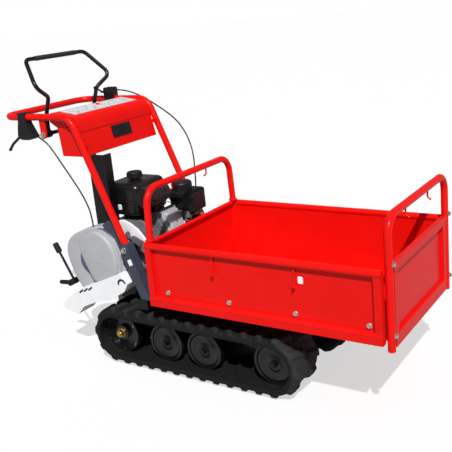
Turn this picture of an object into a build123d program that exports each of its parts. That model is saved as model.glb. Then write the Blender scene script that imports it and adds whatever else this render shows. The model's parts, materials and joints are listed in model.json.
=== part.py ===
"""Tracked power wheelbarrow: a walk-behind dumper with rubber tracks, a rear engine and a tipping bed.

X points forward (dump gate at +X, handle at -X), Y to the machine's left, Z up.
The ground is z = 0 and the origin is under the middle of the machine. Millimetres.
"""
from build123d import *
from math import atan2, cos, degrees, hypot, pi, radians, sin, tan
import os

os.makedirs("parts", exist_ok=True)

# ---------------------------------------------------------------- driving dimensions
BED_REAR = -107.0        # rear face of the dump bed
BED_LENGTH = 894.0
BED_WIDTH = 611.0
BED_BOTTOM = 294.0       # lower edge of the side panels above the ground
PANEL_HEIGHT = 242.0
TRACK_WIDTH = 180.0
TRACK_CENTRE = 189.0     # distance of each track's middle from the centreline
TRACK_PITCH = 60.0
TRACK_LINKS = 32
SPROCKET_TEETH = 9
BELT_THICK = 12.0
LUG_HEIGHT = 25.0
SPROCKET_X = -335.0
HANDLE_HALF = 232.0      # distance of the handle tubes from the centreline
HANDLE_TOP = 974.0
HANDLE_REAR = -815.0
CRANK = (-352.0, 452.0)  # engine crankshaft axis, x and z
GEAR_PIVOT = (-592.0, 290.0)
GEAR_Y = -200.0          # the plane that the shift lever swings in
HINGE = (480.0, 258.0)   # tipping axis of the bed, x and z
GATE_AHEAD = 14.0        # distance of the gate's pivots in front of the bed, and below its top edge
GATE_DROP = 6.0
CLUTCH_AXIS = (-601.0, 905.0)
RAIL_OUT = 95.0          # outer face of the chassis rails

# ---------------------------------------------------------------- named clearances
SEAT = 0.3               # curved faces of neighbouring pieces
RUN = 0.05               # running fit, radial
SHEET = 2.5              # pressed steel sheet

# ---------------------------------------------------------------- values worked out from them
BED_FRONT = BED_REAR + BED_LENGTH
BED_HALF = BED_WIDTH / 2
BED_TOP = BED_BOTTOM + PANEL_HEIGHT
GATE_AXIS = (BED_FRONT + GATE_AHEAD, BED_TOP - GATE_DROP)
WHEEL_PITCH_R = TRACK_PITCH * SPROCKET_TEETH / (2 * pi)
WHEEL_R = WHEEL_PITCH_R - BELT_THICK / 2
WHEEL_Z = WHEEL_PITCH_R + BELT_THICK / 2 + LUG_HEIGHT
WHEEL_BASE = (TRACK_LINKS - SPROCKET_TEETH) * TRACK_PITCH / 2
IDLER_X = SPROCKET_X + WHEEL_BASE
ROLLER_R = 74.0
ROLLER_Z = WHEEL_Z - WHEEL_R + ROLLER_R + SEAT
ROLLER_X = (-117.0, 58.0)
GUIDE_HEIGHT = 18.0
RAIL_TOP = 270.0
RAIL_BOTTOM = 200.0
ENGINE_FLOOR = 350.0
SIDES = {"right": -1, "left": 1}


# ---------------------------------------------------------------- small makers
def block(x, y, z):
    """A box between pairs of limits."""
    size = [max(pair) - min(pair) for pair in (x, y, z)]
    middle = [(pair[0] + pair[1]) / 2 for pair in (x, y, z)]
    return Pos(*middle) * Box(*size)


def rod(start, end, radius):
    """A round bar from one point to another."""
    run = Vector(*end) - Vector(*start)
    return extrude(Plane(origin=start, z_dir=run) * Circle(radius), run.length)


def ring(start, end, outer, inner):
    """A straight pipe from one point to another."""
    run = Vector(*end) - Vector(*start)
    return extrude(Plane(origin=start, z_dir=run) * (Circle(outer) - Circle(inner)), run.length)


def slab(outline, y):
    """An outline in x and z, given thickness between two values of y."""
    face = Plane.XZ * make_face(Polyline(*outline, close=True))
    return Pos(0, max(y), 0) * extrude(face, max(y) - min(y))


def pipe(points, radii, outer, wall=0.0):
    """A round tube along straight runs that are joined by tangent arcs."""
    path = FilletPolyline(*points, radius=radii)
    start = Plane(origin=path @ 0, z_dir=path % 0)
    body = sweep(start * Circle(outer), path)
    return body - sweep(start * Circle(outer - wall), path) if wall else body


def hexagon(start, end, across):
    """A hexagonal bar from one point to another, measured across its flats."""
    run = Vector(*end) - Vector(*start)
    face = RegularPolygon(across / 2, 6, major_radius=False)
    return extrude(Plane(origin=start, z_dir=run) * face, run.length)


def mirrored(shape, side):
    """The shape as it is on the right, or its mirror image on the left."""
    return shape if side < 0 else mirror(shape, about=Plane.XZ)


def join(pieces):
    """One body from pieces that touch or overlap."""
    first, *rest = pieces
    return first.fuse(*rest) if rest else first


def save(name, *pieces):
    """Write one node; several pieces stay separate solids."""
    shape = pieces[0] if len(pieces) == 1 else Compound(children=[Part() + piece for piece in pieces])
    export_step(shape, f"parts/{name}.step")


# ---------------------------------------------------------------- rubber tracks
def loop_outline(radius):
    """A stadium around both wheels, as a face in x and z."""
    middle = SPROCKET_X + WHEEL_BASE / 2
    face = Plane.XZ * SlotOverall(WHEEL_BASE + 2 * radius, 2 * radius)
    return Pos(middle, 0, WHEEL_Z) * face


def on_belt(distance):
    """Place and heading on the belt's neutral line, starting over the sprocket and going forward."""
    arc = pi * WHEEL_PITCH_R
    distance %= 2 * WHEEL_BASE + 2 * arc
    if distance < WHEEL_BASE:
        return SPROCKET_X + distance, WHEEL_Z + WHEEL_PITCH_R, 0.0
    if distance < WHEEL_BASE + arc:
        turn = (distance - WHEEL_BASE) / WHEEL_PITCH_R
        return IDLER_X + WHEEL_PITCH_R * sin(turn), WHEEL_Z + WHEEL_PITCH_R * cos(turn), degrees(turn)
    if distance < 2 * WHEEL_BASE + arc:
        return IDLER_X - (distance - WHEEL_BASE - arc), WHEEL_Z - WHEEL_PITCH_R, 180.0
    turn = pi + (distance - 2 * WHEEL_BASE - arc) / WHEEL_PITCH_R
    return SPROCKET_X + WHEEL_PITCH_R * sin(turn), WHEEL_Z + WHEEL_PITCH_R * cos(turn), degrees(turn)


def track():
    """The right track: a belt with slanted outer lugs in two staggered rows and guide horns inside."""
    depth = TRACK_WIDTH
    outer = WHEEL_PITCH_R + BELT_THICK / 2
    inner = WHEEL_PITCH_R - BELT_THICK / 2
    belt = extrude(loop_outline(outer) - loop_outline(inner), depth)
    pieces = [Pos(0, -TRACK_CENTRE + depth / 2, 0) * belt]
    lug_wide = TRACK_WIDTH * 0.46
    lug_outline = Polyline((-15, -1), (15, -1), (8.5, LUG_HEIGHT), (-8.5, LUG_HEIGHT), close=True)
    lug_profile = Plane.XZ * make_face(lug_outline)
    lug = Pos(0, lug_wide / 2, 0) * extrude(lug_profile, lug_wide)
    horn_outline = Polyline((-11, 1), (11, 1), (5, -GUIDE_HEIGHT), (-5, -GUIDE_HEIGHT), close=True)
    horn_profile = Plane.YZ * make_face(horn_outline)
    horn = Pos(-9, 0, 0) * extrude(horn_profile, 18)
    for link in range(TRACK_LINKS):
        for row, shift, slant in ((-1, 0.0, 12.0), (1, 0.5, -12.0)):
            x, z, turn = on_belt((link + shift) * TRACK_PITCH)
            y = -TRACK_CENTRE + row * (TRACK_WIDTH - lug_wide) / 2
            place = Pos(x, y, z) * Rot(0, turn, 0) * Pos(0, 0, BELT_THICK / 2) * Rot(0, 0, slant)
            pieces.append(place * lug)
        x, z, turn = on_belt(link * TRACK_PITCH)
        pieces.append(Pos(x, -TRACK_CENTRE, z) * Rot(0, turn, 0) * Pos(0, 0, -BELT_THICK / 2) * horn)
    return join(pieces)


# ---------------------------------------------------------------- wheels inside the tracks
GAP = 17.0               # half the channel that the guide horns run in
WHEEL_OUT = 46.0         # half the width of a wheel
SHAFT_R = 14.0
AXLE_R = 10.0
WHEEL_RIM = WHEEL_R - SEAT


def spool(x, z, rim, hub, bore):
    """Two rims on a hub, with a channel between them, about an axis along Y on the right track."""
    lo = -TRACK_CENTRE - WHEEL_OUT
    hi = -TRACK_CENTRE + WHEEL_OUT
    pieces = [rod((x, lo, z), (x, hi, z), hub)]
    for start, end in ((lo, -TRACK_CENTRE - GAP), (-TRACK_CENTRE + GAP, hi)):
        pieces.append(rod((x, start, z), (x, end, z), rim))
    body = join(pieces)
    dish = ring((x, lo - 1, z), (x, lo + 14, z), rim - 9, hub)
    body -= dish
    return body - rod((x, lo - 1, z), (x, hi + 1, z), bore) if bore else body


def sprocket():
    """The drive wheel with its cross bars and the half shaft that turns it."""
    x, z = SPROCKET_X, WHEEL_Z
    body = spool(x, z, WHEEL_RIM, 30.0, 0)
    bar_r = 6.0
    bar_ring = WHEEL_R - GUIDE_HEIGHT - 1.5 - bar_r
    bars = []
    for tooth in range(SPROCKET_TEETH):
        turn = 2 * pi * tooth / SPROCKET_TEETH
        px = x + bar_ring * cos(turn)
        pz = z + bar_ring * sin(turn)
        bars.append(rod((px, -TRACK_CENTRE - GAP - 2, pz), (px, -TRACK_CENTRE + GAP + 2, pz), bar_r))
    shaft = rod((x, -TRACK_CENTRE + WHEEL_OUT - 1, z), (x, -64, z), SHAFT_R)
    return join([body, shaft, *bars])


def hub_nuts():
    """The axle nut with its washer, and six bolts around it, on the sprocket's outer face."""
    x, z = SPROCKET_X, WHEEL_Z
    face = -TRACK_CENTRE - WHEEL_OUT
    washer = rod((x, face, z), (x, face - 3, z), 18)
    nut = hexagon((x, face - 3, z), (x, face - 17, z), 27)
    pieces = [join([washer, nut, rod((x, face - 17, z), (x, face - 22, z), 8)])]
    ring_r = (WHEEL_RIM + WHEEL_RIM - 9) / 2
    for bolt in range(6):
        turn = 2 * pi * (bolt + 0.5) / 6
        px = x + ring_r * cos(turn)
        pz = z + ring_r * sin(turn)
        pieces.append(hexagon((px, face, pz), (px, face - 4, pz), 7))
    return pieces


# ---------------------------------------------------------------- track frame
def track_frame():
    """A box beam inboard of the wheels, with fixed axles, an idler fork and two stubs to the chassis."""
    inner = -RAIL_OUT
    beam_y = (-138.0, -103.0)
    pieces = [block((-262, 300), beam_y, (86, 150))]
    for x in (-150.0, 210.0):
        pieces.append(block((x - 40, x + 40), (-104, inner), (90, 146)))
    pieces.append(block((299, IDLER_X + 22), beam_y, (WHEEL_Z - 18, WHEEL_Z + 18)))
    lo = -TRACK_CENTRE - WHEEL_OUT
    cap = 4.0
    for x, z in ((ROLLER_X[0], ROLLER_Z), (ROLLER_X[1], ROLLER_Z), (IDLER_X, WHEEL_Z)):
        pieces.append(rod((x, beam_y[0] + 1, z), (x, lo - 1, z), AXLE_R))
        pieces.append(rod((x, beam_y[0] + 1, z), (x, -TRACK_CENTRE + WHEEL_OUT + SEAT, z), 17))
        pieces.append(rod((x, lo - 1, z), (x, lo - 1 - cap, z), 15))
        pieces.append(hexagon((x, lo - 1 - cap, z), (x, lo - 10 - cap, z), 19))
    return join(pieces)


# ---------------------------------------------------------------- chassis
PIN_R = 7.95
TENSION_PIVOT = (-385.0, 312.0)
TENSION_ROLL = (-355.0, 352.0)


def chassis_frame():
    """Two channel rails with cross members, drop plates to the track frames and the tipping ears."""
    pieces = []
    rail_in = 70.0
    for side in SIDES.values():
        y = (side * rail_in, side * RAIL_OUT)
        pieces.append(block((-440, 455), y, (RAIL_BOTTOM, RAIL_TOP)))
        for x in (-150.0, 210.0):
            pieces.append(block((x - 40, x + 40), y, (85, RAIL_BOTTOM + 1)))
        pieces.append(block((-430, -150), y, (RAIL_TOP - 1, ENGINE_FLOOR - 6)))
        ear = block((400, HINGE[0]), (side * 48, side * 58), (RAIL_BOTTOM + 36, HINGE[1] + 16))
        ear += rod((HINGE[0], side * 48, HINGE[1]), (HINGE[0], side * 58, HINGE[1]), 18)
        pieces.append(ear)
    for x in (-180.0, 60.0, 420.0):
        pieces.append(block((x - 22, x + 22), (-rail_in - 1, rail_in + 1), (RAIL_BOTTOM + 6, RAIL_TOP - 6)))
    beam_x = -190.0
    beam_y = HANDLE_HALF + 24
    pieces.append(block((beam_x - 24, beam_x + 24), (-beam_y, beam_y), (RAIL_TOP - 24, RAIL_TOP + 14)))
    px, pz = TENSION_PIVOT
    pieces.append(rod((px, -RAIL_OUT + 1, pz), (px, -152, pz), 6))
    body = join(pieces)
    return body - rod((HINGE[0], -90, HINGE[1]), (HINGE[0], 90, HINGE[1]), PIN_R + RUN)


# ---------------------------------------------------------------- gearbox
GEAR_INPUT = (-450.0, 322.0)


def gearbox():
    """The cast case between the tracks with its two axle housings and input shaft boss."""
    case = block((-500, -270), (-58, 58), (62, 262))
    case = fillet(case.edges().filter_by(Axis.Y), 30)
    case += block((-510, -400), (-52, 52), (200, 340))
    for side in SIDES.values():
        case += block((-430, -310), (side * 57, side * 70), (225, 255))
    x, z = SPROCKET_X, WHEEL_Z
    for side in SIDES.values():
        case += rod((x, side * 50, z), (x, side * 92, z), 32)
        case -= rod((x, side * 62, z), (x, side * 95, z), SHAFT_R + RUN)
    case += rod((GEAR_INPUT[0], -50, GEAR_INPUT[1]), (GEAR_INPUT[0], -142, GEAR_INPUT[1]), 20)
    case -= rod((GEAR_INPUT[0], -110, GEAR_INPUT[1]), (GEAR_INPUT[0], -151, GEAR_INPUT[1]), 10 + RUN)
    return case


# ---------------------------------------------------------------- engine
ENGINE_HALF = 88.0


CYLINDER_TILT = 25.0


def along_cylinder():
    """A place on the crankshaft axis, turned so that its x runs along the cylinder."""
    return Pos(CRANK[0], 0, CRANK[1]) * Rot(0, -CYLINDER_TILT, 0)


def engine_block():
    """Crankcase with feet, the finned cylinder and head, and the intake and exhaust stubs."""
    x, z = CRANK
    case = block((x - 92, x + 78), (-ENGINE_HALF, ENGINE_HALF), (ENGINE_FLOOR + 8, z + 82))
    case = fillet(case.edges().filter_by(Axis.Y), 26)
    case += block((x - 84, x + 84), (-ENGINE_HALF - 24, ENGINE_HALF + 24), (ENGINE_FLOOR, ENGINE_FLOOR + 12))
    case += rod((x, -ENGINE_HALF + 1, z), (x, -ENGINE_HALF - 14, z), 52)
    place = along_cylinder()
    case += place * Pos(96, 0, 0) * Box(96, 86, 96)
    for fin in range(6):
        case += place * Pos(84 + fin * 12, 0, 0) * Box(4, 112, 122)
    case += place * Pos(152, 0, 0) * Box(22, 104, 108)
    case -= rod((x, -ENGINE_HALF - 20, z), (x, -ENGINE_HALF + 30, z), 12.5 + RUN)
    return case


def valve_cover():
    """The pressed silver cover on the cylinder head, with a raised middle."""
    place = along_cylinder()
    flange = place * Pos(165, 0, 0) * Box(4, 96, 96)
    dome = place * Pos(175, 0, 0) * Box(16, 80, 78)
    dome = fillet(dome.edges(), 6)
    return flange + dome


def fuel_tank():
    """The rounded steel tank over the crankcase, with its seam flange and filler neck."""
    x = -372.0
    low, high = 556.0, 684.0
    body = block((x - 84, x + 84), (-96, 96), (low, high))
    body = fillet(body.edges().filter_by(Axis.Z), 30)
    body = fillet(body.faces().sort_by(Axis.Z)[-1].edges(), 26)
    body = fillet(body.faces().sort_by(Axis.Z)[0].edges(), 12)
    seam = block((x - 90, x + 90), (-102, 102), (612, 617))
    seam = fillet(seam.edges().filter_by(Axis.Z), 34)
    neck = rod((x, 0, high - 2), (x, 0, high + 6), 20)
    foot = block((x - 50, x + 50), (-40, 40), (CRANK[1] + 82, low + 3))
    return join([body, seam, neck, foot])


def fuel_cap():
    """The ribbed filler cap."""
    x, z = -372.0, 690.0
    cap = rod((x, 0, z + SEAT), (x, 0, z + 24), 30)
    cap = fillet(cap.edges().sort_by(Axis.Z)[-1], 5)
    for rib in range(12):
        turn = 2 * pi * rib / 12
        cap += rod((x + 30 * cos(turn), 30 * sin(turn), z + 3), (x + 30 * cos(turn), 30 * sin(turn), z + 18), 2.5)
    return cap


MUFFLER_X = -232.0
MUFFLER_Z = 642.0


def muffler():
    """The silencer drum beside the tank, with its flange and tail spout."""
    drum = rod((MUFFLER_X, -128, MUFFLER_Z), (MUFFLER_X, -12, MUFFLER_Z), 40)
    drum = fillet(drum.edges(), 6)
    neck_x = MUFFLER_X - 14
    neck = rod((neck_x, -36, MUFFLER_Z - 30), (neck_x, -36, 540), 12) - engine_block() - valve_cover()
    neck = neck.solids().sort_by(Axis.Z)[-1]
    spout = rod((MUFFLER_X + 25, -112, MUFFLER_Z), (MUFFLER_X + 58, -112, MUFFLER_Z), 9)
    return join([drum, neck, spout])


def muffler_guard():
    """The slotted sheet that wraps the front and top of the silencer."""
    inner = 40 + SEAT
    wrap = ring((MUFFLER_X, -132, MUFFLER_Z), (MUFFLER_X, -8, MUFFLER_Z), inner + 2, inner)
    wrap &= block((MUFFLER_X - 20, MUFFLER_X + 60), (-140, 0), (MUFFLER_Z - 20, MUFFLER_Z + 60))
    for slot in range(5):
        y = -118.0 + slot * 20
        wrap -= block((MUFFLER_X + 10, MUFFLER_X + 60), (y - 4, y + 4), (MUFFLER_Z + 4, MUFFLER_Z + 38))
    wrap -= rod((MUFFLER_X, -112, MUFFLER_Z), (MUFFLER_X + 70, -112, MUFFLER_Z), 11)
    return wrap


CARB_TOP = 546.0


def air_cleaner():
    """The black box with its round dome, on the intake side of the head."""
    box = block((-252, -132), (34, 146), (CARB_TOP, CARB_TOP + 82))
    box = fillet(box.edges().filter_by(Axis.Z), 16)
    box = fillet(box.faces().sort_by(Axis.Z)[-1].edges(), 10)
    box -= block((-260, -120), (30, 60), (CARB_TOP - 1, CARB_TOP + 60))
    dome = rod((-205, 84, CARB_TOP + 74), (-205, 84, CARB_TOP + 116), 42)
    dome = fillet(dome.edges().sort_by(Axis.Z)[-1], 12)
    return join([box, dome])


def carburettor():
    """The carburettor with its float bowl, between the head and the air cleaner."""
    body = block((-222, -168), (62, 106), (CARB_TOP - 30, CARB_TOP))
    body += rod((-195, 84, CARB_TOP - 46), (-195, 84, CARB_TOP - 28), 19)
    body += block((-222, -196), (44, 63), (CARB_TOP - 26, CARB_TOP - 4))
    body += block((-200, -184), (105, 160), (CARB_TOP - 10, CARB_TOP - 7))
    return (body - engine_block() - valve_cover()).solids().sort_by(SortBy.VOLUME)[-1]


def recoil_cover():
    """The fan housing with its round starter can on the engine's left side."""
    x, z = CRANK
    face = ENGINE_HALF
    plate = rod((x, face, z), (x, face + 46, z), 80)
    plate = fillet(plate.edges().sort_by(Axis.Y)[-1], 10)
    plate += rod((x, face + 45, z), (x, face + 66, z), 62)
    for slot in range(12):
        turn = 2 * pi * slot / 12
        px = x + 48 * cos(turn)
        pz = z + 48 * sin(turn)
        plate -= rod((px, face + 58, pz), (px, face + 70, pz), 6)
    plate += block((x - 40, x - 10), (face + 20, face + 64), (z + 50, z + 100))
    return plate


RECOIL_GRIP_X = CRANK[0] - 25


def recoil_grip():
    """The pull handle of the starter."""
    z = CRANK[1] + 100 + SEAT
    grip = block((RECOIL_GRIP_X - 30, RECOIL_GRIP_X + 30), (ENGINE_HALF + 34, ENGINE_HALF + 50), (z, z + 16))
    return fillet(grip.edges(), 4)


def engine_base():
    """The black tray under the engine, with a turned-down lip, on the chassis rails."""
    z = ENGINE_FLOOR
    half = 143.0
    tray = block((-560, -132), (-half, half), (z - 6, z))
    tray += block((-560, -556), (-half, half), (z - 42, z - 5))
    x, pivot_z = GEAR_PIVOT
    ear = [(-556, z), (-556, z - 42), (x + 12, pivot_z - 16), (x - 16, pivot_z - 12), (x - 16, pivot_z + 14), (x + 8, z)]
    tray += slab(ear, (-half - 6, -half))
    return tray + rod((x, -half - 5, pivot_z), (x, GEAR_Y - 34, pivot_z), 6)


# ---------------------------------------------------------------- belt drive
PULLEY_Y = (-196.0, -172.0)


def pulley(centre, radius, bore, shaft, boss):
    """A grooved belt wheel with a hub, about an axis along Y."""
    x, z = centre
    lo, hi = PULLEY_Y
    middle = (lo + hi) / 2
    body = rod((x, lo, z), (x, hi, z), radius)
    groove = Polyline((radius + 1, -9), (radius + 1, 9), (radius - 13, 5), (radius - 13, -5), close=True)
    face = Plane(origin=(x, middle, z), x_dir=(1, 0, 0), z_dir=(0, 0, 1)) * make_face(groove)
    body -= revolve(face, axis=Axis((x, 0, z), (0, 1, 0)))
    body += rod((x, shaft[0], z), (x, shaft[1], z), bore)
    return body + rod((x, hi - 1, z), (x, hi + boss, z), bore + 8)


ENGINE_PULLEY_R = 36.0
GEAR_PULLEY_R = 46.0
BELT_IN = 8.0            # how deep the belt sits in the grooves


def drive_belt():
    """The V-belt around both pulleys, as a flat loop in the groove."""
    small = ENGINE_PULLEY_R - BELT_IN
    large = GEAR_PULLEY_R - BELT_IN
    dx = CRANK[0] - GEAR_INPUT[0]
    dz = CRANK[1] - GEAR_INPUT[1]
    apart = hypot(dx, dz)
    lean = degrees(atan2(dz, dx))

    def outline(extra):
        r_large = large + extra
        r_small = small + extra
        circles = Circle(r_large) + Pos(apart, 0) * Circle(r_small)
        turn = radians(90) - (large - small) / apart
        sides = [
            (r_large * cos(turn), r_large * sin(turn)),
            (apart + r_small * cos(turn), r_small * sin(turn)),
            (apart + r_small * cos(turn), -r_small * sin(turn)),
            (r_large * cos(turn), -r_large * sin(turn)),
        ]
        return circles + make_face(Polyline(*sides, close=True))

    face = outline(5.0) - outline(SEAT)
    middle = (PULLEY_Y[0] + PULLEY_Y[1]) / 2
    wide = 12.4
    plane = Plane(origin=(GEAR_INPUT[0], middle + wide / 2, GEAR_INPUT[1]), x_dir=(1, 0, 0), z_dir=(0, -1, 0))
    return extrude(plane * Rot(0, 0, lean) * face, wide)


def tension_arm():
    """The clutch arm whose roller presses the belt when the clutch loop is held."""
    px, pz = TENSION_PIVOT
    rx, rz = TENSION_ROLL
    near, far = -149.5, -144.5
    plate = slab([(px + 8, pz - 6), (px - 8, pz + 6), (rx - 8, rz + 6), (rx + 8, rz - 6)], (near, far))
    eye = rod((px, near, pz), (px, far, pz), 14)
    boss = rod((rx, near, rz), (rx, far, rz), 11)
    pin = rod((rx, near + 1, rz), (rx, -190, rz), 5)
    wheel = rod((rx, -194, rz), (rx, -176, rz), 16)
    body = join([plate, eye, boss, pin, wheel])
    return body - rod((px, -170, pz), (px, -140, pz), 6 + RUN)


# ---------------------------------------------------------------- covers at the rear
COVER_IN = -150.0
COVER_FLANGE = -206.0
COVER_OUT = -240.0
DOME = [(-512, 466), (-459, 512), (-388, 527), (-338, 491), (-317, 441), (-313, 366), (-356, 328), (-431, 292),
        (-474, 372)]
FLANGE = [(-604, 438), (-575, 482), (-520, 508), (-452, 530), (-384, 540), (-322, 500), (-300, 440), (-296, 356),
          (-356, 300), (-431, 260), (-520, 238), (-566, 286), (-604, 386)]


COVER_WING = [(-345, 520), (-330, 562), (-296, 571), (-262, 562), (-225, 540), (-192, 502), (-200, 490), (-234, 516),
              (-248, 502), (-262, 486), (-280, 492), (-266, 516), (-276, 530), (-300, 520), (-318, 486)]


def rounded_slab(outline, y, corner):
    """A slab whose upright edges are rounded."""
    body = slab(outline, y)
    return fillet(body.edges().filter_by(Axis.Y), corner)


def belt_cover():
    """The moulded grey case over the belt drive: a deep flange and a raised dome."""
    wall = 4.0
    outer = rounded_slab(FLANGE, (COVER_FLANGE, COVER_IN), 18)
    dome = rounded_slab(DOME, (COVER_OUT, COVER_FLANGE + 1), 26)
    dome = fillet(dome.faces().sort_by(Axis.Y)[0].edges(), 10)
    body = outer + dome
    inside_flange = offset(Plane.XZ * make_face(Polyline(*FLANGE, close=True)), -wall - 1)
    inside_dome = offset(Plane.XZ * make_face(Polyline(*DOME, close=True)), -wall - 8)
    body -= Pos(0, COVER_IN + 1, 0) * extrude(inside_flange, COVER_IN - COVER_FLANGE + 1 - wall)
    body -= Pos(0, COVER_IN + 1, 0) * extrude(inside_dome, COVER_IN - COVER_OUT + 1 - wall)
    body += block((-312, -274), (-202.7, -197), (446, 474))
    return body + slab(COVER_WING, (-187, -183))


FENDER = [(-500, 290), (-540, 262), (-571, 250), (-629, 203), (-622, 181), (-551, 166), (-513, 205), (-448, 232),
          (-365, 253), (-284, 300), (-262, 334), (-300, 372), (-400, 330)]


def rear_fender():
    """The grey guard lobe under the belt cover, shaped over the end of the track."""
    body = rounded_slab(FENDER, (COVER_OUT - 6, -156), 5)
    for outline, far, grown in ((FLANGE, COVER_FLANGE, SEAT), (DOME, COVER_OUT, SEAT)):
        filled = offset(Plane.XZ * make_face(Polyline(*outline, close=True)), grown)
        body -= Pos(0, -100, 0) * extrude(filled, -100 - far + SEAT)
    hollow = offset(Plane.XZ * make_face(Polyline(*FENDER, close=True)), -5)
    body -= Pos(0, -150, 0) * extrude(hollow, -150 - COVER_OUT)
    return body.solids().sort_by(SortBy.VOLUME)[-1]


# ---------------------------------------------------------------- handle
def upright_x(z):
    """Where the leaning handle tubes are at a height."""
    return -440 + 0.405 * (943 - z)


TUBE_R = 13.5
TUBE_WALL = 2.0
BRACKET_TOP = 497.0


def handle_frame():
    """One bent tube from the right bracket up, around the grip loop and down to the left, with two tabs."""
    side = HANDLE_HALF
    low = BRACKET_TOP - 60
    points = [
        (upright_x(low), -side, low),
        (upright_x(HANDLE_TOP - 2), -side, HANDLE_TOP),
        (HANDLE_REAR, -side, HANDLE_TOP),
        (HANDLE_REAR, side, HANDLE_TOP),
        (upright_x(HANDLE_TOP - 2), side, HANDLE_TOP),
        (upright_x(low), side, low),
    ]
    body = pipe(points, [70, 62, 62, 70], TUBE_R, TUBE_WALL)
    x, z = CLUTCH_AXIS
    for sign in SIDES.values():
        y = (sign * (side - 3), sign * (side + 3))
        tab = block((x - 13, x + 17), y, (z, HANDLE_TOP - TUBE_R + 1.0))
        tab += rod((x, y[0], z), (x, y[1], z), 16)
        tab -= rod((x, y[0] - sign * 5, z), (x, y[1] + sign * 5, z), 8)
        body += tab
    return body


def handle_bracket():
    """The folded slate channel that clamps one handle tube, with a second leg back to the cover."""
    side = -HANDLE_HALF
    base = RAIL_TOP + 14
    top = BRACKET_TOP
    front = [(upright_x(z) + 22, z) for z in (base, top)]
    back = [(upright_x(z) - 22, z) for z in (top, base)]
    channel = slab(front + back, (side - 20, side + 20))
    start = (upright_x(base + 20), side, base + 20)
    end = (upright_x(top + 40), side, top + 40)
    channel -= rod(start, end, TUBE_R + SEAT)
    leg = slab([(upright_x(base) - 20, base), (upright_x(base) - 60, base), (-338, 566), (-300, 566)],
               (side + 21, side + 29))
    wing = [(-300, 570), (-356, 570), (-384, 548), (-328, 502), (-303, 445), (-303, 400), (-285, 382), (-250, 400)]
    leg += slab(wing, (side + 21, COVER_FLANGE - SEAT))
    leg += block((upright_x(base) - 60, upright_x(base) + 22), (side + 10, side + 29), (base, base + 8))
    return channel + leg


def rear_column():
    """The black sheet tower behind the right handle tube, from the engine tray to the control box."""
    outline = [(-470, 812), (-385, 812), (-385, 540), (-440, 500), (-440, ENGINE_FLOOR), (-552, ENGINE_FLOOR),
               (-548, 455), (-470, 520)]
    inside = [(-463, 830), (-392, 830), (-392, 544), (-448, 503), (-448, ENGINE_FLOOR + 6), (-544, ENGINE_FLOOR + 6),
              (-540, 452), (-463, 516)]
    return slab(outline, (-146, -106)) - slab(inside, (-143, -100))


# ---------------------------------------------------------------- control box
BOX_HALF = 218.0
BOX_WALL = 3.0
BOX_SIDE = [(-412, 820), (-438, 942), (-452, 968), (-572, 985), (-572, 952), (-536, 930), (-527, 820)]


def control_box():
    """The folded red housing between the handle tubes, open underneath."""
    body = slab(BOX_SIDE, (-BOX_HALF, BOX_HALF))
    fold = body.edges().filter_by(Axis.Y).group_by(Axis.X)[-2]
    body = fillet(fold, 14)
    inside = [(-415.5, 810), (-441, 938), (-459, 960), (-569, 980), (-569, 954), (-533, 931), (-524, 810)]
    body -= slab(inside, (-BOX_HALF + BOX_WALL, BOX_HALF - BOX_WALL))
    for sign in SIDES.values():
        x = upright_x(880)
        body += block((x - 14, x + 14), (sign * (BOX_HALF - 1), sign * (HANDLE_HALF - TUBE_R - SEAT)), (872, 888))
    return body


def label_plate():
    """The pale instruction plate on the sloping top of the control box."""
    (front_x, front_z), (rear_x, rear_z) = BOX_SIDE[2], BOX_SIDE[3]
    lean = atan2(rear_z - front_z, front_x - rear_x)
    off = 0.8 + SEAT / 3
    share = 0.58             # how far back its middle is on the slope
    middle_x = front_x + share * (rear_x - front_x) + off * sin(lean)
    middle_z = front_z + share * (rear_z - front_z) + off * cos(lean)
    return Pos(middle_x, 15, middle_z) * Rot(0, degrees(lean), 0) * Box(84, 360, 1.6)


def front_plate():
    """The black bezel on the front of the control box."""
    (low_x, low_z), (high_x, high_z) = BOX_SIDE[0], BOX_SIDE[1]
    lean = atan2(low_x - high_x, high_z - low_z)
    thick = 3.0
    off = thick / 2 + SEAT / 3
    middle_x = (low_x + high_x) / 2 + off * cos(lean)
    middle_z = (low_z + high_z) / 2 + off * sin(lean)
    return Pos(middle_x, 18, middle_z) * Rot(0, -degrees(lean), 0) * Box(thick, 112, 48)


# ---------------------------------------------------------------- clutch loop
LOOP_R = 8.0
LOOP_Y = -70.0


def clutch_points(sign):
    """The corners of one half of the loop, from the eye upward."""
    x, z = CLUTCH_AXIS
    return [
        (x, LOOP_Y + sign * 135, z + 4),
        (x + 2, LOOP_Y + sign * 135, z + 70),
        (x + 29, LOOP_Y + sign * 135, z + 142),
        (x + 46, LOOP_Y + sign * 207, z + 188),
        (x - 39, LOOP_Y + sign * 160, z + 288),
    ]


def clutch_loop():
    """The dead-man loop: one bent bar with an eye at each end that turns on the cross tube."""
    x, z = CLUTCH_AXIS
    points = clutch_points(-1) + clutch_points(1)[::-1]
    body = pipe(points, [30, 26, 26, 30, 30, 26, 26, 30], LOOP_R)
    for sign in (-1, 1):
        y = LOOP_Y + sign * 135
        body += rod((x, y - 8, z), (x, y + 8, z), 15)
        body -= rod((x, y - 20, z), (x, y + 20, z), 8 + RUN)
    return body


def clutch_sleeve():
    """The soft grip around the top bar of the clutch loop."""
    x, z = CLUTCH_AXIS
    half = 112.0
    start = (x - 39, LOOP_Y - half, z + 288)
    end = (x - 39, LOOP_Y + half, z + 288)
    return ring(start, end, LOOP_R + 4, LOOP_R + SEAT)


def cross_tube():
    """The black pivot tube between the two tabs, with a bolt head and washer at each end."""
    x, z = CLUTCH_AXIS
    end = HANDLE_HALF + 3
    body = rod((x, -end, z), (x, end, z), 8 - SEAT)
    return body


# ---------------------------------------------------------------- levers
BRAKE_PIVOT = (-700.0, 915.0)
THROTTLE_PIVOT = (-664.0, 1006.0)


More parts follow.
